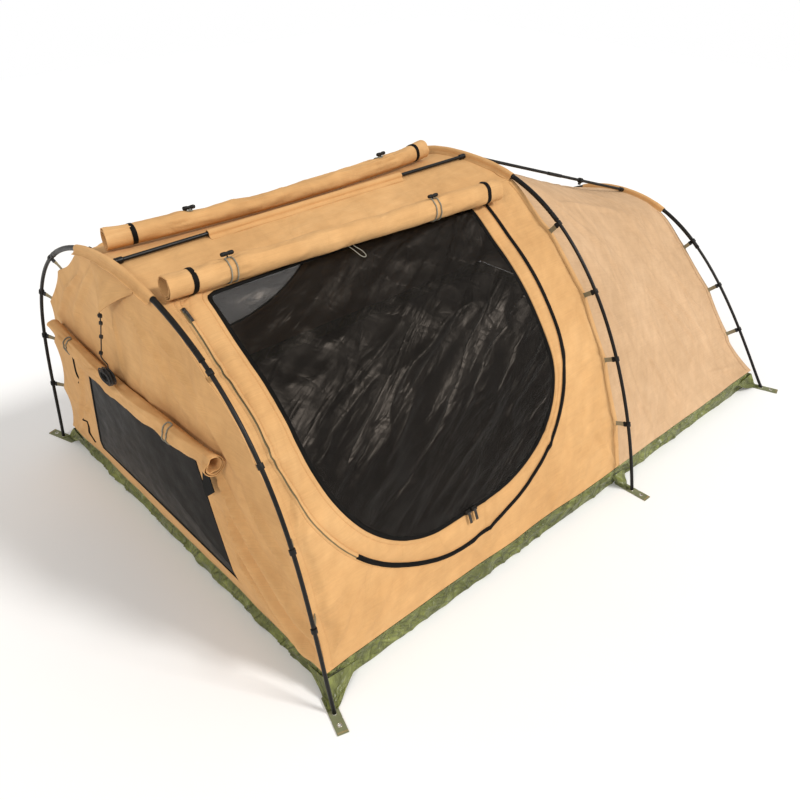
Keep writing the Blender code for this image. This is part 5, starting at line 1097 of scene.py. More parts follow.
def build_panel_zips():
    """Ends of the window cover's zip, where they run out on the head panel."""
    for index, route in enumerate(PANEL_ZIPS):
        line = spline(route, 60)
        t = tangents(line)
        side = np.stack([-t[:, 1], t[:, 0]], axis=1)
        rows, lifts = strips(lambda offset: line + side * offset,
                             ((-0.0052, 0.0006), (-0.0022, 0.0012), (0.0, 0.0032), (0.0022, 0.0012),
                              (0.0052, 0.0006)))
        spoke = rows - WINDOW_CENTRE
        reach = np.linalg.norm(spoke, axis=-1)
        edge_gap = np.maximum(ray_hit(HEAD_OUTLINE, WINDOW_CENTRE, spoke) - reach, 0)
        window_gap = np.maximum(reach - ray_hit(WINDOW_OUTLINE, WINDOW_CENTRE, spoke), 0)
        relief = head_relief(*both(rows), edge_gap, window_gap)
        head_skin(f"panel_zip_{index}", rows, relief + lifts, BINDING_SKIN, binding, "zip", sharp=60)


FOOT_FOLDS = (
    (-0.10, 0.50, -0.60, 0.12, 0.014, 0.0045, 0.01), (0.12, 0.50, 0.60, 0.12, 0.014, 0.0045, -0.01),
    (-0.30, 0.44, -0.66, 0.16, 0.012, 0.0036, 0.0), (0.28, 0.46, 0.66, 0.16, 0.012, 0.0036, 0.0),
    (0.05, 0.30, 0.08, 0.08, 0.014, 0.0030, 0.0), (-0.22, 0.26, -0.24, 0.08, 0.013, 0.0030, 0.0))


def build_foot_panel():
    arch_count = 240
    edge = panel_edge(foot, arch_count, 110)
    centre = np.array([0.0, foot.height * 0.4])
    rows = np.array([edge + (centre - edge) * s for s in np.linspace(0, 0.999, 56)])
    across, up = both(rows)
    gap = np.linalg.norm(rows - edge[None], axis=-1)
    relief = 0.0040 * layered(across / 0.26, up / 0.20, 111, 2)
    relief += 0.0011 * layered(across / 0.06, up / 0.09, 112, 2)
    relief = add_folds(relief, across, up, FOOT_FOLDS) * smooth(gap, 0, PANEL_EASE) + 0.0009 * (gap < 0.012)
    grid = np.stack([foot.skin_x(up) + SEAM_GAP + CANVAS / 2 + relief, across, up], axis=-1)
    grid = grid + edge_pull(edge, arch_count + 1, foot_bay, 1,
                            lambda rise: foot_seam_drop(rise, FOOT_DROP), foot_pull, gap)
    skin("foot_panel_cloth", grid, CANVAS_SKIN, lit_foot_canvas, "canvas", closed=True, out=(1, 0, 0), uv=rows,
         replaces=["foot_panel"], sharp=50)


def build_beak():
    """Canvas triangle under the head hoop's sleeve, drawn out to the guy rope; returns its tip."""
    cols, count = 41, 13
    share = np.linspace(-1, 1, cols)
    half, depth, reach, edge_depth = 0.112, 0.095, 0.040, 0.012
    profile = head.skin_profile()
    across = half * share
    pull = 1 - np.abs(share)
    top_up = np.interp(-np.abs(across), profile[:, 1], profile[:, 2]) - 0.003 - SLEEVE_RADIUS
    low_up = top_up - edge_depth - (depth - edge_depth) * pull
    top, low = (on_head_panel(x, up, SEAM_GAP * 2 + CANVAS / 2)
                for x, up in ((across, top_up), (across * (1 - pull * 0.2), low_up)))
    low[:, 0] -= reach * pull
    v, u = grid_of(np.linspace(0, 1, count), share)
    grid = top[None] * (1 - v[..., None]) + low[None] * v[..., None]
    grid[..., 0] -= 0.004 * np.sin(np.pi * v) * (1 - np.abs(u)) + 0.0020 * noise2(u * 3.1, v * 2.3, 121) * v
    grid[..., 0] -= 0.0008 * (v > 0.90)
    skin("guy_beak_cloth", grid, CANVAS_SKIN, canvas, "canvas", out=HEAD_SIDE,
         uv=np.stack([u * half, v * 0.09], axis=-1), replaces=["guy_beak"], sharp=50)
    return low[cols // 2]


# Poles and sleeves
AHEAD, ACROSS = (1, 0, 0), (0, 1, 0)


def zone_lines(hoop, side):
    """The leg, the ferrule and half the crown of one side of a hoop, from the foot up."""
    line = hoop.half_line(side, 1600)
    along = distances(line)
    total = along[-1]
    cuts = (0.0, total - SLEEVE_HALF_LENGTH - FERRULE_LENGTH, total - SLEEVE_HALF_LENGTH, total)
    return [interpolated(np.linspace(low, high, count + 1), along, line)
            for low, high, count in zip(cuts, cuts[1:], (60, 16, 24))]


def rod_rings(stations, hint, sides=20):
    """Rings for (point, radius) stations; equal points make square shoulders."""
    path, radii = (np.array(values) for values in zip(*stations))
    t = np.zeros_like(path)
    for k in range(len(path)):
        a, b = max(k - 1, 0), min(k + 1, len(path) - 1)
        while a > 0 and np.linalg.norm(path[k] - path[a]) < 1e-6:
            a -= 1
        while b < len(path) - 1 and np.linalg.norm(path[b] - path[k]) < 1e-6:
            b += 1
        t[k] = unit(path[b] - path[a])
    hint = np.asarray(hint, float)
    up = unit(hint - t * (t @ hint)[:, None])
    return rings_at(path, np.cross(t, up), up, circle(sides) * radii[:, None, None])


def straight_rod(start, axis, marks, hint, sides=20):
    """Rings of a straight rod, from (place along it, radius) marks."""
    return rod_rings([(start + axis * place, radius) for place, radius in marks], hint, sides)


def mirrored(half):
    """(place, radius) marks up to a rod's middle, and their mirror image."""
    return half + [(-place, radius) for place, radius in half[::-1]]


def build_poles(hoop):
    lip, tube, crimp = FERRULE_RADIUS + 0.0003, FERRULE_RADIUS - 0.0003, FERRULE_RADIUS - 0.0014
    for side in SIDES:
        leg, ferrule, _ = zone_lines(hoop, side)
        body = Parts()
        pin_end = np.array([*leg[0][:2], SEAM_GAP])
        stations = [(pin_end, 0.0012), (pin_end + (0, 0, 0.0006), 0.0025), (leg[0], 0.0025), (leg[0], 0.0048),
                    (leg[0] + (leg[1] - leg[0]) * 0.06, POLE_RADIUS)]
        body.rings(rod_rings(stations + [(p, POLE_RADIUS) for p in leg[1:]], AHEAD))
        # the ferrule's tube with a rolled lip at each end and two crimp rings
        t = tangents(ferrule)
        marks = [(0, 0, POLE_RADIUS), (0, 0, FERRULE_RADIUS - 0.0006), (0, 0.0012, lip), (0, 0.004, lip),
                 (0, 0.005, tube)]
        for k in range(1, len(ferrule) - 1):
            marks.append((k, 0, tube))
            if k in (2, 3):
                marks += [(k, 0.002, tube), (k, 0.0028, crimp), (k, 0.0042, crimp), (k, 0.005, tube)]
        marks += [(-1, -0.006, tube), (-1, -0.005, lip + 0.0001), (-1, -0.0010, lip + 0.0001),
                  (-1, 0, FERRULE_RADIUS - 0.0005), (-1, 0, POLE_RADIUS)]
        body.rings(rod_rings([(ferrule[k] + t[k] * past, radius) for k, past, radius in marks], AHEAD))
        body.make(f"{hoop.name}_{WORD[side]}_leg_pole", pole_black, "pole",
                  replaces=[f"{hoop.name}_hoop_{WORD[side]}_leg"], sharp=35)
    near, far = (zone_lines(hoop, side) for side in SIDES)
    path = np.vstack([near[1][2:], near[2][1:], far[2][:-1][::-1], far[1][2:-1][::-1]])
    solid(f"{hoop.name}_crown_pole", rod_rings([(p, POLE_RADIUS - 0.0002) for p in path], AHEAD), pole_black,
          "pole", replaces=[f"{hoop.name}_hoop_crown"], sharp=35)
    build_hoop_sleeve(hoop, np.vstack([near[2], far[2][:-1][::-1]]))


def sleeve_profile(radius, wing, drop, thick):
    """Cloth over a pole with a wing to each side, as a closed outline of (side, up)."""
    a = np.radians(np.linspace(-18, 198, 15))
    arc = np.stack([np.cos(a), np.sin(a)], axis=1)
    foot_x, foot_z = arc[0] * radius
    right = [(foot_x + (wing - foot_x) * s, -drop * (1 - (1 - s) ** 2) + foot_z * (1 - s))
             for s in (1.0, 0.8, 0.6, 0.4, 0.2)]
    top = [*right, *(arc * radius), *((-x, z) for x, z in right[::-1])]
    under = [(x * 0.98, z - thick) for x, z in top[::-1] if abs(x) > radius * 1.15]
    half = len(under) // 2
    return np.array([*top, *under[:half], *(arc[::-1] * (radius - thick)), *under[half:]])


def build_hoop_sleeve(hoop, path):
    path = resample(path, 90)
    t = tangents(path)
    share = np.linspace(0, 1, len(path))
    out = unit(np.cross(t, AHEAD))
    out = np.where(out[:, 2:3] < 0, -out, out)
    base = sleeve_profile(SLEEVE_RADIUS + 0.0006, 0.0190, 0.0105, 0.0022)
    profile = base * (1 + 0.035 * noise2(share * 23, share * 0, 131))[:, None, None]
    profile[:, :, 0] *= (1 + 0.10 * noise2(share * 11, share * 0 + 3, 132))[:, None]
    solid(f"{hoop.name}_sleeve_cloth", rings_at(path, np.cross(t, out), out, profile), canvas_trim, "canvas",
          replaces=[f"{hoop.name}_hoop_sleeve"], sharp=55,
          uv=cloth_uv(share, np.linspace(0, 0.08, len(base))))


def ridge_ends(first, second):
    """Where a ridge pole stops, clear of the crowns' sleeves."""
    t = unit(second.top - first.top)
    drop = UP * (SLEEVE_DROP - SEAM_GAP - SLEEVE_RADIUS * math.cos(math.pi / 8))
    reach = SLEEVE_RADIUS * math.cos(math.pi / 8 - math.asin(abs(t[2]))) + SEAM_GAP
    return first.top - drop + t * (reach + drop @ t), second.top - drop - t * (reach - drop @ t)


def build_ridge_pole(name, first, second, clip_at=()):
    start, end = ridge_ends(first, second)
    t = unit(end - start)
    length = np.linalg.norm(end - start)
    tip, small = 0.0085, POLE_RADIUS
    marks = [(0, small), (0.0025, tip), (0.0065, tip), (0.0072, tip - 0.0009), (0.0085, tip - 0.0009),
             (0.0092, tip), (0.022, tip), (0.0228, tip - 0.0008), (0.025, small), (0.10, small),
             (length / 2 - 0.0451, small), (length / 2 - 0.045, small + 0.0011)]
    marks += [(length - place, radius) for place, radius in marks[::-1]]
    solid(name + "_rod", straight_rod(start, t, marks, ACROSS), pole_black, "pole", replaces=[name], sharp=35)
    for k, distance in enumerate(clip_at):
        centre = start + t * distance
        collar = Parts()
        marks = mirrored([(-0.011, 0.0056), (-0.011, 0.0088), (-0.008, 0.0098)])
        collar.rings(straight_rod(centre, t, marks, ACROSS))
        up = unit(UP - t * t[2])
        collar.box(centre - up * 0.0125, (np.cross(up, t), t, up), (0.006, 0.014, 0.010), 0.001)
        collar.make(f"{name}_clip_{k}", plastic, "black_plastic", sharp=35)


def build_ridge_sleeve():
    start, end = ridge_ends(head, mid)
    t = unit(end - start)
    path = resample([start + t * 0.265, end - t * 0.290], 70)
    share = np.linspace(0, 1, len(path))
    base = sleeve_profile(SLEEVE_RADIUS + 0.0004, 0.0230, 0.0095, 0.0022)
    profile = np.repeat(base[None], len(path), axis=0)
    profile[:, :, 0] *= (1 + 0.05 * noise2(share * 9, share * 0, 141))[:, None]
    wavy = 0.0012 * noise2(share * 14, share * 0 + 5, 142)
    profile[:, :, 1] += wavy[:, None] * (np.abs(base[:, 0]) > 0.012)
    solid("ridge_sleeve_cloth", sweep(path, profile, UP), canvas_trim, "canvas", replaces=["ridge_sleeve"],
          sharp=55, uv=cloth_uv(share * 0.73, np.linspace(0, 0.09, len(base))))


# Rolled doors and window cover
POINTS_PER_TURN = 13
ROLL_PITCH = 0.0046


class Roll:
    """A rolled sheet: a spiral section run along a line, with its wrinkles."""

    def __init__(self, centres, radii, hint, contact, turn, steps, seed, ties, wrinkle=0.0013, slack=0.0,
                 calm=None):
        self.centres, self.radii, self.hint = centres, radii, np.array(hint, float)
        self.turn, self.steps, self.seed, self.ties = turn, steps, seed, ties
        self.wrinkle, self.slack, self.calm = wrinkle, slack, calm
        self.t = tangents(centres)
        self.length = length_of(centres)
        side, up = (axis[len(centres) // 2] for axis in self.axes(self.t))
        self.start = math.atan2(contact @ up, contact @ side)

    def axes(self, t):
        side = unit(self.hint - t * (t @ self.hint)[..., None])
        return side, np.cross(t, side)

    def at(self, share):
        places = np.linspace(0, 1, len(self.centres))
        centre, t = (interpolated(share, places, line) for line in (self.centres, self.t))
        return centre, unit(t), np.interp(share, places, self.radii)

    def surface(self, share, step, lift=0.0):
        """Point on the rolled sheet's outer face and its direction from the middle."""
        share, step = np.broadcast_arrays(np.asarray(share, float), np.asarray(step, float))
        centre, t, radius = self.at(share)
        side, up = self.axes(t)
        turned = math.tau * step / POINTS_PER_TURN
        angle = self.start + self.turn * turned
        spoke = side * np.cos(angle)[..., None] + up * np.sin(angle)[..., None]
        along, wound = share * self.length, angle * 0.034
        # long twists that wind round the roll, and small crumples near its ties
        rows = self.wrinkle * 3.0 * ridged(along / 0.17 + wound * 6.0, np.cos(angle) * 0.9 + 7, self.seed)
        rows += self.wrinkle * 2.7 * noise2(along / 0.060 + wound * 11.0, np.sin(angle) * 1.1, self.seed + 1)
        rows += self.wrinkle * 2.4 * noise2(along / 0.24, np.cos(angle + 1) * 1.3, self.seed + 3)
        rows += 0.0005 * noise2(along / 0.015, angle * 1.5, self.seed + 2)
        if self.calm is not None:
            over_tab = np.exp(-((along - self.calm) / 0.036) ** 4)
            rows = rows * (1 - 0.95 * over_tab) - 0.0030 * over_tab
        for held in self.ties:
            near = bell(along - held, 0.020)
            rows = rows * (1 - 0.5 * near) - 0.0026 * near
            beside = np.exp(-(np.abs(along - held) - 0.03) ** 2 / 0.0006)
            rows = rows + 0.0011 * np.cos(angle * 9 + held * 40) * beside
        slack = self.slack * smooth(share, 0.02, 0.25) * (1 - smooth(share, 0.75, 0.98))
        radius = radius * (1 + slack * np.maximum(-spoke[..., 2], 0))
        free = 0.5 - 0.5 * np.cos(turned)
        reach = radius - 0.0006 - ROLL_PITCH * step / POINTS_PER_TURN + rows * free + lift
        return centre + spoke * reach[..., None], spoke

    def step_facing(self, share, direction, low=0.5, high=12.5):
        steps = np.linspace(low, high, 600)
        return float(steps[int(np.argmax(self.surface(share, steps)[1] @ unit(direction)))])

    def build(self, name, node, rows=150, cols=300):
        share, step = grid_of(np.linspace(0, 1, rows), np.linspace(0.12, self.steps, cols))
        place, spoke = self.surface(share, step, -0.0013)
        uv = np.stack([share * self.length, step / POINTS_PER_TURN * 0.19], axis=-1)
        obj = skin(name, place, ROLL_SKIN, canvas, "canvas", out=spoke, uv=uv, replaces=[node], sharp=60)
        obj["cloth_flat"] = [self.length, obj["cloth_area"] / self.length]

    def band(self, name, share):
        """A band of zip round the roll's outer turn, a little slanted and full in its middle."""
        low, high, half, slant = 1.0, 12.6, 0.0065, 0.006
        across = np.linspace(-1, 1, 7)
        s, k = grid_of(share + across * half / self.length, np.linspace(low, high, 90))
        s = s + slant * (k - low) / (high - low) / self.length
        place, spoke = self.surface(s, k, 0.0006)
        place = place + spoke * 0.0009 * (1 - across ** 2)[:, None, None]
        uv = np.stack([s * self.length, k * 0.014], axis=-1)
        skin(name, place, BINDING_SKIN, binding, "zip", out=spoke, uv=uv, sharp=60)


def bent(low, middle, high, share):
    return low + (high - low) * share + (middle - (low + high) / 2) * 4 * share * (1 - share)


# how far its ends stay off the hoops, below the ridge, its radii, where its ties are from each end, seed
DOOR_ROLLS = {NEAR: ((0.028, 0.135), (0.203, 0.2245, 0.246), (0.034, 0.033, 0.034), (0.172, 0.262), 201),
              FAR: ((0.040, 0.100), (0.106, 0.060, 0.100), (0.032, 0.026, 0.032), (0.235, 0.210), 231)}


def door_roll(side):
    bay = main_bay
    insets, below_ridge, radii, tied, seed = DOOR_ROLLS[side]
    share = np.linspace(0, 1, 121)
    start, end = insets[0] / bay.length, 1 - insets[1] / bay.length
    radius = bent(*radii, share)
    turn = round_bay(1 - bent(*below_ridge, share) / bay.arc, side)
    centres = bay.point(start + (end - start) * share, turn, radius + 0.0012)
    contact = -bay.frame(0.5, round_bay(1 - abs(centres[60][1]) / bay.arc, side))[1]
    return Roll(centres, radius, ACROSS, contact, side, 30, seed, (tied[0], length_of(centres) - tied[1]))


def window_roll():
    share = np.linspace(0, 1, 101)
    across = 0.470 * share - 0.450 * (1 - share)
    # the end beyond the hanging tab has sprung open a little
    radii = 0.024 + 0.0055 * (1 - smooth(share, 0.004, 0.042))
    up = 0.602 + 0.007 * smooth(share, 0.10, 0.30) + 0.5 * (radii - 0.024)
    centres = on_head_panel(across, up, radii + 0.0017)
    length = length_of(centres)
    return Roll(centres, radii, AHEAD, np.array([1.0, 0, 0]), FAR, 32, 261, (0.190, length - 0.150), 0.0014,
                0.42, 0.065 * length)


def build_tie(name, roll, place, first_step, **extra):
    """Two elastic strands from under a roll round its front to its top."""
    share, half, lift = place / roll.length, 0.009 / roll.length, 0.0018
    last = roll.step_facing(share, UP, first_step, 12.9) - 0.2
    steps = np.linspace(first_step, last, 34)
    front, back = (roll.surface(share + k * half, steps, lift)[0] for k in (-1, 1))
    top = [roll.surface(share + half * k, last + turn, lift + 0.0002)[0]
           for turn, k in ((0.25, -0.7), (0.5, 0.0), (0.25, 0.7))]
    path = spline(np.vstack([front, top, back[::-1]])[::2], 150)
    rings = sweep(path, circle(10) * 0.0018, path - roll.at(share)[0])
    solid(name, rings, elastic, "elastic", sharp=50, **extra)


def build_toggle(node, roll, place):
    """Barrel toggle: two fluted ends, a waist and the stem that it turns on."""
    low, high = (np.array(c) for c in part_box(node))
    middle = (low + high) / 2
    middle[2] = high[2] - 0.0055
    level = unit(roll.at(place / roll.length)[1] * (1, 1, 0))
    barrel = mirrored([(-0.0176, 0.0020), (-0.0176, 0.0034), (-0.0168, 0.0044), (-0.0150, 0.0050),
                       (-0.0138, 0.0054), (-0.0100, 0.0055), (-0.0095, 0.0048), (-0.0088, 0.0048),
                       (-0.0083, 0.0055), (-0.0048, 0.0053), (-0.0030, 0.0044)])
    stem = [(low[2] - middle[2], 0.0019), (-0.0040, 0.0019), (-0.0030, 0.0019)]
    parts = Parts()
    parts.rings(straight_rod(middle, level, barrel, UP, 24))
    parts.rings(straight_rod(middle, UP, stem, level, 14))
    parts.make(node + "_barrel", plastic, "black_plastic", replaces=[node], body=node, sharp=40)


def build_loop(roll, share):
    """The loose elastic loop that hangs from under the near roll, over the mesh."""
    half = 0.0045 / roll.length
    step = roll.step_facing(share, (0, -0.35, -1))
    ends = [roll.surface(share + k * half, step, -0.0010)[0] for k in (-1, 1)]
    run = (ends[0][0] + ends[1][0]) / 2 + HALF_LENGTH
    # metres along the wall, down from the door's top edge, and off the wall
    marks = np.array([(-0.0050, 0.012, 0.011), (0.0030, 0.034, 0.008), (0.0105, 0.052, 0.007),
                      (0.0190, 0.0600, 0.0065), (0.0265, 0.0560, 0.007), (0.0230, 0.040, 0.008),
                      (0.0090, 0.016, 0.011)])
    way = main_bay.lengths(run + marks[:, 0], DOOR_TOP - marks[:, 1], NEAR, marks[:, 2])
    path = spline(np.vstack([ends[:1], way, ends[1:]]), 60)
    loop = solid("near_roll_loop", sweep(path, circle(10) * 0.0012, (0.3, 1.0, 0.2)), elastic, "elastic")


# Clips down the legs
HOOK_ANGLES = np.radians(np.linspace(-37, 267, 26))
HOOK = np.stack([np.cos(HOOK_ANGLES), np.sin(HOOK_ANGLES)], axis=1)


def nearest(points, wanted):
    """The nearest place on a line to a point, and the line's direction there."""
    a, b = points[:-1], points[1:]
    e = b - a
    s = np.clip(((wanted - a) * e).sum(-1) / (e * e).sum(-1), 0, 1)
    p = a + e * s[:, None]
    k = int(np.argmin(np.linalg.norm(p - wanted, axis=1)))
    return p[k], unit(e[k])


def build_clip_row(hoop, side, bay, seam, inward, high):
    """Canvas seam tape, olive webbing straps and a black clip at the end of each."""
    name = f"{hoop.name}_{WORD[side]}_clip"
    rise = np.linspace(0.010, high, 130)
    turn = round_bay(rise / bay.arc, side)
    cross = ((0.0, 0.0004), (0.0010, 0.0016), (0.010, 0.0019), (0.0186, 0.0016), (0.0198, 0.0004))
    rows = []
    for offset, lift in cross:
        run = seam(rise) + inward * offset
        if bay is main_bay:
            rows.append(bay.lengths(run, rise, side, lift + wall_relief(run, rise, side)))
        else:
            rows.append(bay.point(run / bay.length, turn, lift + canopy_relief(run, turn * bay.arc)))
    grid = np.array(rows)
    skin(name + "_tape", grid, TAPE_SKIN, lit_foot_canvas if hoop is foot else canvas_trim, "canvas",
         out=bay.frame(seam(rise) / bay.length, turn)[1],
         uv=cloth_uv([offset for offset, _ in cross], rise),
         replaces=[f"{hoop.name}_hoop_{WORD[side]}_clips"], sharp=50)
    leg, ferrule, _ = zone_lines(hoop, side)
    webs, hooks = Parts(), Parts()
    for height in hoop.clips:
        pole, tangent = nearest(np.vstack([leg, ferrule[1:]]), hoop.point(height, side))
        inner = (FERRULE_RADIUS if pole[2] > leg[-1][2] else POLE_RADIUS) + 0.0002
        outer = inner + 0.0026
        towards = nearest(grid[2], pole)[0] - pole
        towards = towards - tangent * (towards @ tangent)
        reach = float(np.linalg.norm(towards))
        first = unit(towards)
        second = np.cross(tangent, first)
        if second[0] < 0:
            second = -second
        # webbing strap, folded over at the clip and flared a little at the seam
        start = inner + 0.0060
        strap = []
        for s in np.linspace(0, 1, 12):
            p = pole + first * (start + (reach + 0.004 - start) * s) + second * 0.0012 * math.sin(math.pi * s)
            w = 0.0072 * (1 + 0.30 * smooth(s, 0.75, 1.0))
            h = 0.0011 + 0.0010 * (1 - smooth(s, 0.25, 0.35))
            half = np.array([(-w, -h * 0.6), (-w * 0.94, -h), (w * 0.94, -h), (w, -h * 0.6)])
            strap.append([p + tangent * x + second * y for x, y in np.vstack([half, -half])])
        webs.rings(strap)
        # moulded hook round the pole, and its base
        section = np.vstack([HOOK * outer, HOOK[::-1] * inner])
        hooks.rings([[pole + (first * x + second * y) * shrink + tangent * place for x, y in section]
                     for place, shrink in ((-0.0070, 0.97), (-0.0062, 1.0), (0.0062, 1.0), (0.0070, 0.97))])
        hooks.box(pole + first * (outer + 0.0035), (second, first, tangent), (0.0060, 0.0080, 0.0170), 0.0012)
    webs.make(name + "_straps", web_olive, "webbing", sharp=40)
    hooks.make(name + "_hooks", plastic, "black_plastic", sharp=40)


# Tub floor, tabs and mattress
def rounded_loop(half_x, half_y, radius, counts=(360, 240, 14)):
    """Closed outline in order near side, foot end, far side, head end."""
    arcs = [arc_points((sx * (half_x - radius), sy * (half_y - radius)), radius, radius, start, counts[2] - 1)
            for sx, sy, start in ((1, -1, -90), (1, 1, 0), (-1, 1, 90), (-1, -1, 180))]
    parts = []
    for k, (arc, following) in enumerate(zip(arcs, arcs[1:] + arcs[:1])):
        parts += [arc, np.linspace(arc[-1], following[0], counts[(k + 1) % 2])[1:-1]]
    return np.vstack(parts)


def level_loop(loop, height):
    return np.column_stack([loop, np.broadcast_to(height, len(loop))])


def tub_wave(flow, z):
    """Slack of the vinyl wall, held flat at the floor and at its top hem."""
    held = smooth(z, -0.004, 0.016) * (1 - smooth(z, 0.050, 0.064))
    level = np.full_like(flow, z)
    wave = 0.0085 * layered(flow / 0.110, level / 0.050, 301, 3)
    wave = wave + 0.0085 * ridged(flow / 0.055 + level * 12, level / 0.09, 303)
    wave = wave + 0.0022 * noise2(flow / 0.021, level / 0.028, 304)
    return wave * held


def build_tub():
    loop = rounded_loop(HALF_LENGTH, HALF_WIDTH, 0.025)
    flow = distances(loop)
    d = np.roll(loop, -1, 0) - np.roll(loop, 1, 0)
    outward = unit(np.stack([d[:, 1], -d[:, 0]], axis=1))
    (ox, oy), (x, y) = outward.T, loop.T
    top_wave = np.select([oy < -0.9, oy > 0.9, ox < -0.9, ox > 0.9],
                         [side_wave(x, NEAR), side_wave(x, FAR), end_wave(y, -1), end_wave(y, 1)])
    heights = [(0.0, -0.10), (0.0, -0.02), (0.0006, -0.003), (0.0030, -0.0004)]
    heights += [(z, 0.0) for z in np.linspace(0.006, 0.0590, 16)]
    heights += [(0.0592, 0.0002), (0.0600, 0.0016), (0.0640, 0.0018), (0.0686, 0.0016), (0.0698, 0.0004)]
    heights += [(z, -0.0022) for z in np.linspace(0.066, 0.006, 16)]
    rows = []
    for z, push in heights:
        moved = push + tub_wave(flow, z) + top_wave * smooth(z, 0.010, 0.066)
        rows.append(level_loop(loop + outward * moved[:, None], z))
    rows += [level_loop(loop - outward * inset, 0.0026) for inset in (0.004, 0.02)]
    rows += [level_loop(loop * (1 - inset / 0.74), 0.0026) for inset in (0.10, 0.30, 0.60)]
    rings = np.array(rows)
    rings[0, :, :2] = loop * 0.2
    solid("floor_tub_vinyl", rings, vinyl, "tub_fabric", replaces=["floor_tub"], sharp=60,
          uv=cloth_uv(np.linspace(0, 0.2, len(rows)), flow)[:, ::-1])


def build_peg_tab(hoop, side, turn_deg):
    """Webbing tab with an eyelet for the pole's pin and one for a peg, and its stitched fold."""
    name = f"{hoop.name}_{WORD[side]}"
    place = hoop.point(0.0, side) * (1, 1, 0)
    angle = math.radians(turn_deg)
    outward = np.array([math.sin(angle), side * math.cos(angle), 0.0])
    across = np.array([outward[1], -outward[0], 0.0])
    half, split = 0.015, 0.018
    start = half * abs(math.tan(angle)) - (abs(place[1]) - HALF_WIDTH - 0.0006) / math.cos(angle)

    def spot(flat, up):
        return place + outward * flat[..., :1] + across * flat[..., 1:] + UP * np.asarray(up)[..., None]

    def add_ring(parts, grid):
        """A body whose grid closes on itself both ways."""
        rows, cols = grid.shape[:2]
        parts.add(grid.reshape(-1, 3), (quads(rows + 1, cols, True) % (rows * cols)).tolist())

    web, eyelets, stitches = Parts(), Parts(), Parts()
    for centre, low, high, hole in ((0.0, start, split, 0.0040), (0.036, split, 0.062, 0.0050)):
        corners = np.array([(low, -half), (high, -half), (high, half), (low, half)])
        middle, spoke = np.array([centre, 0.0]), circle(48)
        edge = middle + spoke * ray_hit(round_trip(corners, 60), middle, spoke)[:, None]
        inner = middle + spoke * hole
        slab = np.array([edge, edge, inner + (edge - inner) * 0.98, inner, inner])
        add_ring(web, spot(slab, np.array([0.0002, 0.0022, 0.0026, 0.0026, 0.0002])[:, None]))
        wire = circle(10) * 0.0012
        add_ring(eyelets, spot(middle + circle(36)[:, None] * (hole + 0.0006 + wire[:, :1]),
                               0.0027 + 0.6 * wire[:, 1]))
    for ahead in (0.0560, 0.0585):
        for k in range(-5, 6):
            stitches.box(spot(np.array([ahead, k * 0.0026]), 0.0028), (across, outward, UP),
                         (0.0017, 0.0006, 0.0006))
    web.make(name + "_tab_webbing", web_tab, "webbing", sharp=40, replaces=[name + "_peg_tab"])
    eyelets.make(name + "_tab_eyelets", eyelet, "black_plastic", sharp=50)
    stitches.make(name + "_tab_stitches", thread, "webbing", sharp=40)
    build_gusset(hoop, side, place, outward, across)


def build_gusset(hoop, side, place, outward, across):
    """Vinyl flap from the tub's wall down to the peg tab, pulled out by the pole."""
    tip = place - outward * 0.010 + UP * 0.0040
    if hoop is mid:
        left, top, right = (np.array([place[0] + run, side * (HALF_WIDTH + out), 0.040])
                            for run, out in ((-0.036, 0.0035), (0.0, 0.0045), (0.036, 0.0035)))
    else:
        end, run = -1 if hoop is head else 1, 0.105
        corner = np.array([end * HALF_LENGTH, side * HALF_WIDTH, 0.052])
        left = corner + (-end * run, side * 0.0045, -0.004)
        right = corner + (end * 0.0045, -side * run * 0.75, -0.004)
        top = corner + (end * 0.0035, side * 0.0035, 0.004)
    edge = np.vstack([resample([left, top], 9), resample([top, right], 9)[1:]])
    down, share = np.linspace(0, 1, 15), np.linspace(-1, 1, len(edge))
    u = down[:, None, None]
    grid = edge + (tip - edge) * u ** 0.9 - UP * 0.012 * np.sin(np.pi * u)
    grid = grid + across * share[:, None] * 0.013 * smooth(u, 0.4, 1.0)
    wob = 0.0016 * noise2(4 * down[:, None] + 0 * share, 3 * share + place[0] * 7, 331)
    grid = grid + (outward + UP * 0.7) * wob[..., None]
    grid[..., 2] = np.maximum(grid[..., 2], 0.0036)
    skin(f"{hoop.name}_{WORD[side]}_gusset", grid, VINYL_SKIN, vinyl, "tub_fabric", out=outward + UP * 0.5,
         uv=cloth_uv(down * length_of(grid[:, len(edge) // 2]), share * length_of(grid[0]) / 2), sharp=60)


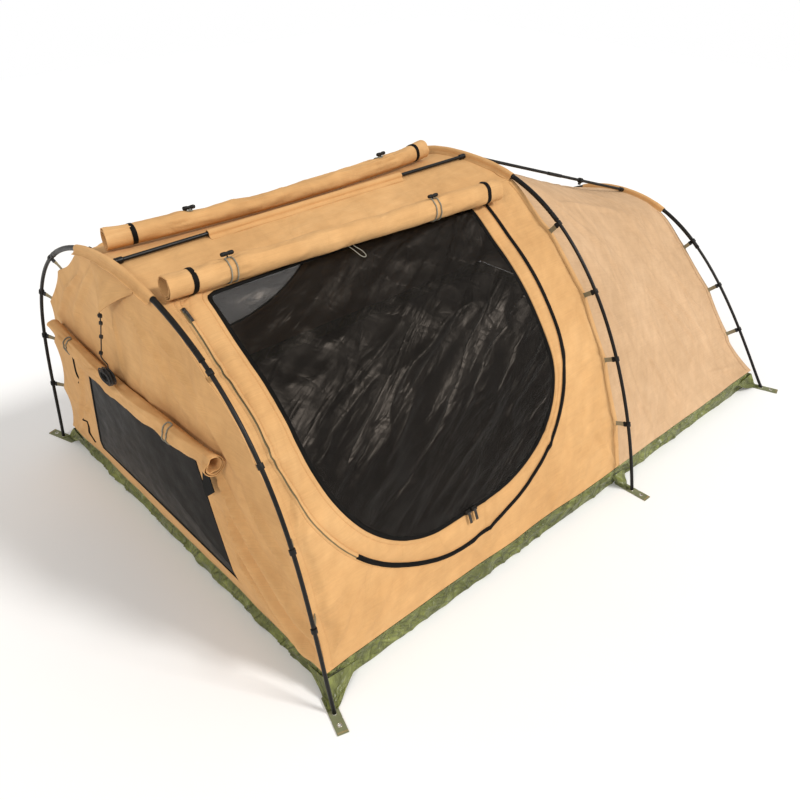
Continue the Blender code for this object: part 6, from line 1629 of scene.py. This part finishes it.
def build_mattress():
    half_x, half_y = HALF_LENGTH - 0.056, HALF_WIDTH - 0.060
    bottom, edge, height = 0.0033, 0.012, 0.056
    counts = (180, 120, 10)
    marks = [(0.55, 0.0), (0.10, 0.0), (edge, 0.0), (edge * 0.4, 0.003), (0.0, edge * 0.8), (0.0016, 0.020),
             (0.0035, height / 2), (0.0016, height - 0.018), (0.0, height - edge * 0.9),
             (edge * 0.3, height - 0.003), (edge, height + 0.0005)]
    marks += [(inset, height + 0.012 * math.sin(math.pi / 2 * min(inset / 0.5, 1)))
              for inset in (0.03, 0.06, 0.10, 0.15, 0.21, 0.28, 0.36, 0.45, 0.55)]
    rows = []
    for inset, up in marks:
        drawn = min(inset, half_y - 0.04)
        loop = rounded_loop(half_x - drawn, half_y - drawn, 0.070 if inset < 0.3 else 0.030, counts)
        z = bottom + up
        if up > height:
            z = z + 0.0020 * layered(loop[:, 0] / 0.20, loop[:, 1] / 0.17, 341, 3)
            z = z - 0.0022 * bell(np.mod(loop[:, 0] + 0.9, 0.30) - 0.15, 0.012) * smooth(inset, 0.02, 0.08)
        rows.append(level_loop(loop, z))
    solid("mattress_foam", np.array(rows), foam, "mattress_cover", replaces=["mattress"], sharp=60)
    # piping round the top and bottom edges
    loop = rounded_loop(half_x - 0.0022, half_y - 0.0022, 0.068, counts)
    for word, up in (("top", height - 0.006), ("low", 0.006)):
        path = level_loop(np.vstack([loop, loop[:1]]), bottom + up)
        solid("mattress_piping_" + word, sweep(path, circle(8) * 0.0022, UP), binding, "mattress_cover",
              sharp=60)


# Guy rope
CORD = 0.0032
GUY_STEPS = ((0.0, 0.0, 0.0), (0.0, 0.0, -0.012), (-0.002, 0.0015, -0.034), (-0.006, 0.0025, -0.056),
             (-0.010, 0.0035, -0.080), (-0.014, 0.0045, -0.102), (-0.018, 0.006, -0.123))


def hank_points():
    """Turns of rope that run in through one layer of the hank and out through the next."""
    turns, layers, per_turn = 3, 4, 24
    centre = np.array([-1.186, 0.010, 0.602 + 0.024 + 0.027])
    path = []
    for index in range(turns * layers * per_turn + 1):
        turned = index / per_turn
        layer = min(int(turned / turns), layers - 1)
        within = turned - layer * turns
        inward = within if layer % 2 == 0 else turns - within
        climb = float(layer)
        near_layer = round(turned / turns)
        offset = turned - near_layer * turns
        if 0 < near_layer < layers and abs(offset) <= 0.25:
            climb = near_layer - 1 + float(smooth((offset + 0.25) / 0.5))
        angle = math.pi / 2 + math.tau * turned
        long, high = 0.035 - 0.005 * inward, 0.025 - 0.005 * inward
        waist = 1 - 0.18 * abs(math.sin(angle)) ** 3
        swing = math.copysign(abs(math.cos(angle)) ** 0.8, math.cos(angle))
        depth = 0.0048 * (climb - (layers - 1) / 2)
        path.append(centre + (-depth, long * swing, high * math.sin(angle) * waist))
    return np.array(path)


def build_guy(tip):
    hank = hank_points()
    end = hank[0] + UP * (CORD + SEAM_GAP)
    start = tip - (CANVAS / 2, 0, SEAM_GAP)
    line = spline([*(start + GUY_STEPS), end + UP * CORD * 3, end + UP * CORD, end], 40)
    path = np.vstack([line, hank])
    curve = bpy.data.curves.new("guy_rope", "CURVE")
    curve.dimensions = "3D"
    curve.bevel_depth, curve.bevel_resolution = CORD / 2, 3
    curve.use_fill_caps = True
    poly = curve.splines.new("POLY")
    poly.points.add(len(path) - 1)
    for point, place in zip(poly.points, path):
        point.co = (*place, 1.0)
    curve.materials.append(cord_black)
    rope = dress(bpy.data.objects.new("guy_rope", curve), "guy_cord", ("guy_line", "guy_hank"))
    knots = [build_knot(f"guy_knot_{k}", line[at], line[at + 1] - line[at - 1], size)
             for k, (at, size) in enumerate(((2, 1.9), (7, 1.5), (16, 1.55), (27, 1.6)))]


def build_knot(name, centre, axis, size):
    """Three wraps of cord drawn tight round the rope."""
    axis = unit(axis)
    side = unit(np.cross(axis, (1.0, 0.2, 0.0)))
    turns = np.linspace(0, 3.0, 90)[:, None]
    wrap = side * np.cos(math.tau * turns) + np.cross(axis, side) * np.sin(math.tau * turns)
    radius = CORD * 0.62 * size * (1 + 0.25 * np.sin(np.pi * turns / 3.0))
    path = centre + axis * (turns / 3.0 - 0.5) * CORD * 3.0 + wrap * radius
    rings = sweep(path, circle(8) * (CORD * 0.46), path - centre)
    return solid(name, rings, cord_black, "guy_cord", sharp=60)


# Camera, at the photograph's angle
def make_camera():
    yaw, pitch = math.radians(-42.586), math.radians(-33.410)
    forward = Vector((-math.sin(yaw) * math.cos(pitch), math.cos(yaw) * math.cos(pitch), math.sin(pitch)))
    right = forward.cross(Vector((0, 0, 1))).normalized()
    turned = Matrix((right, right.cross(forward), -forward)).transposed().to_4x4()
    turned.translation = Vector((-1.8448, -1.8406, 1.7717))
    data = bpy.data.cameras.new("camera")
    data.sensor_width, data.sensor_fit = 36.0, "HORIZONTAL"
    data.lens = 810.73 / 800 * 36
    data.clip_start, data.clip_end = 0.05, 100
    camera = link(bpy.data.objects.new("camera", data))
    camera.matrix_world = turned
    bpy.context.scene.camera = camera


def make_floor():
    mesh = bpy.data.meshes.new("floor")
    half, down = 7.0, -0.0006
    corners = [(-half, -half, down), (half, -half, down), (half, half, down), (-half, half, down)]
    mesh.from_pydata(corners, [], [(0, 1, 2, 3)])
    material, g, put = base_material("studio_floor", 0.7)
    fine = g.noise(g.node("TexCoord").outputs["Object"], 2.0)
    put(Base_Color=g.ramp(fine, [(0.3, (0.915, 0.915, 0.915)), (0.7, (0.925, 0.925, 0.925))]))
    mesh.materials.append(material)
    link(bpy.data.objects.new("floor", mesh))


# name, direction, strength, angle and colour
SUNS = (("key", (-0.45, 0.78, -0.79), 2.12, 12, (1.0, 0.985, 0.96)),
        ("fill", (0.80, 0.42, -0.55), 0.95, 14, (1.0, 0.97, 0.92)))


def make_lights():
    for name, direction, strength, angle, colour in SUNS:
        data = bpy.data.lights.new(name, "SUN")
        data.energy, data.angle, data.color = strength, math.radians(angle), colour
        lamp = link(bpy.data.objects.new(name, data))
        lamp.rotation_euler = Vector(direction).normalized().to_track_quat("-Z", "Y").to_euler()
    world = bpy.data.worlds.new("studio")
    bpy.context.scene.world = world
    world.use_nodes = True
    world.node_tree.nodes.clear()
    g = Graph(world.node_tree)
    # the background is white to the camera and softer as a light
    soft = g.node("Background", {"Color": (1.0, 0.985, 0.965, 1), "Strength": 0.60})
    white = g.node("Background", {"Color": (1, 1, 1, 1), "Strength": 1.0})
    path = g.node("LightPath")
    seen = g.math("MAXIMUM", path.outputs["Is Camera Ray"], path.outputs["Is Transmission Ray"])
    mix = g.node("MixShader", {0: seen, 1: soft.outputs[0], 2: white.outputs[0]})
    g.node("OutputWorld", {"Surface": mix.outputs[0]})


make_camera()
build_guy(build_beak())
build_tub()
build_mattress()
for build in (build_wall, build_mesh_door, build_door_zip):
    for side in SIDES:
        build(side)
build_roof()
build_canopy()
build_head_panel()
build_panel_zips()
build_foot_panel()

rolls = {side: door_roll(side) for side in SIDES}
cover_roll = window_roll()
for side, roll in rolls.items():
    roll.build(WORD[side] + "_roll_cloth", WORD[side] + "_door_roll")
cover_roll.build("window_roll_cloth", "window_roll", 140, 280)
for side, roll in rolls.items():
    for end, place in zip(("head", "foot"), roll.ties):
        name = f"{WORD[side]}_{end}"
        build_tie(name + "_strands", roll, place, 1.0, replaces=[name + "_tie"])
        build_toggle(name + "_toggle", roll, place)
    for k, share in enumerate((0.060, 0.945)):
        roll.band(f"{WORD[side]}_roll_zip_{k}", share)
build_tie("window_strands", cover_roll, cover_roll.ties[0], 3.0, replaces=["window_tie"])
build_tie("window_strands_far", cover_roll, cover_roll.ties[1], 3.0)
build_loop(rolls[NEAR], 0.515)

for hoop in (head, mid, foot):
    build_poles(hoop)
build_ridge_pole("head_ridge_pole", head, mid)
build_ridge_pole("foot_ridge_pole", mid, foot, (0.70,))
build_ridge_sleeve()

# hoop, its bay, where its seam runs, the way into the bay, and how high its tape goes
MAIN_HIGH = main_bay.arc - ROOF_HALF - 0.012
CLIP_ROWS = ((head, main_bay, lambda rise: 0 * rise + SEAM_GAP, 1, MAIN_HIGH),
             (mid, main_bay, lambda rise: 0 * rise + main_bay.length - SEAM_GAP / 2, -1, MAIN_HIGH),
             (foot, foot_bay, lambda rise: foot_bay.length - SEAM_GAP - foot_pull(rise), -1,
              foot_bay.arc - SLEEVE_HALF_LENGTH - 0.02))
for side in SIDES:
    for hoop, *row in CLIP_ROWS:
        build_clip_row(hoop, side, *row)
    for hoop, turn in ((head, -18), (mid, 0), (foot, 18)):
        build_peg_tab(hoop, side, turn)

for node in ("mesh_head_slider", "mesh_head_pull", "mesh_foot_slider", "mesh_foot_pull", "window_tab"):
    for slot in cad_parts[node].material_slots:
        slot.material = stiff_black if node == "window_tab" else zip_metal

make_floor()
make_lights()

bpy.context.scene.view_settings.view_transform = "Standard"
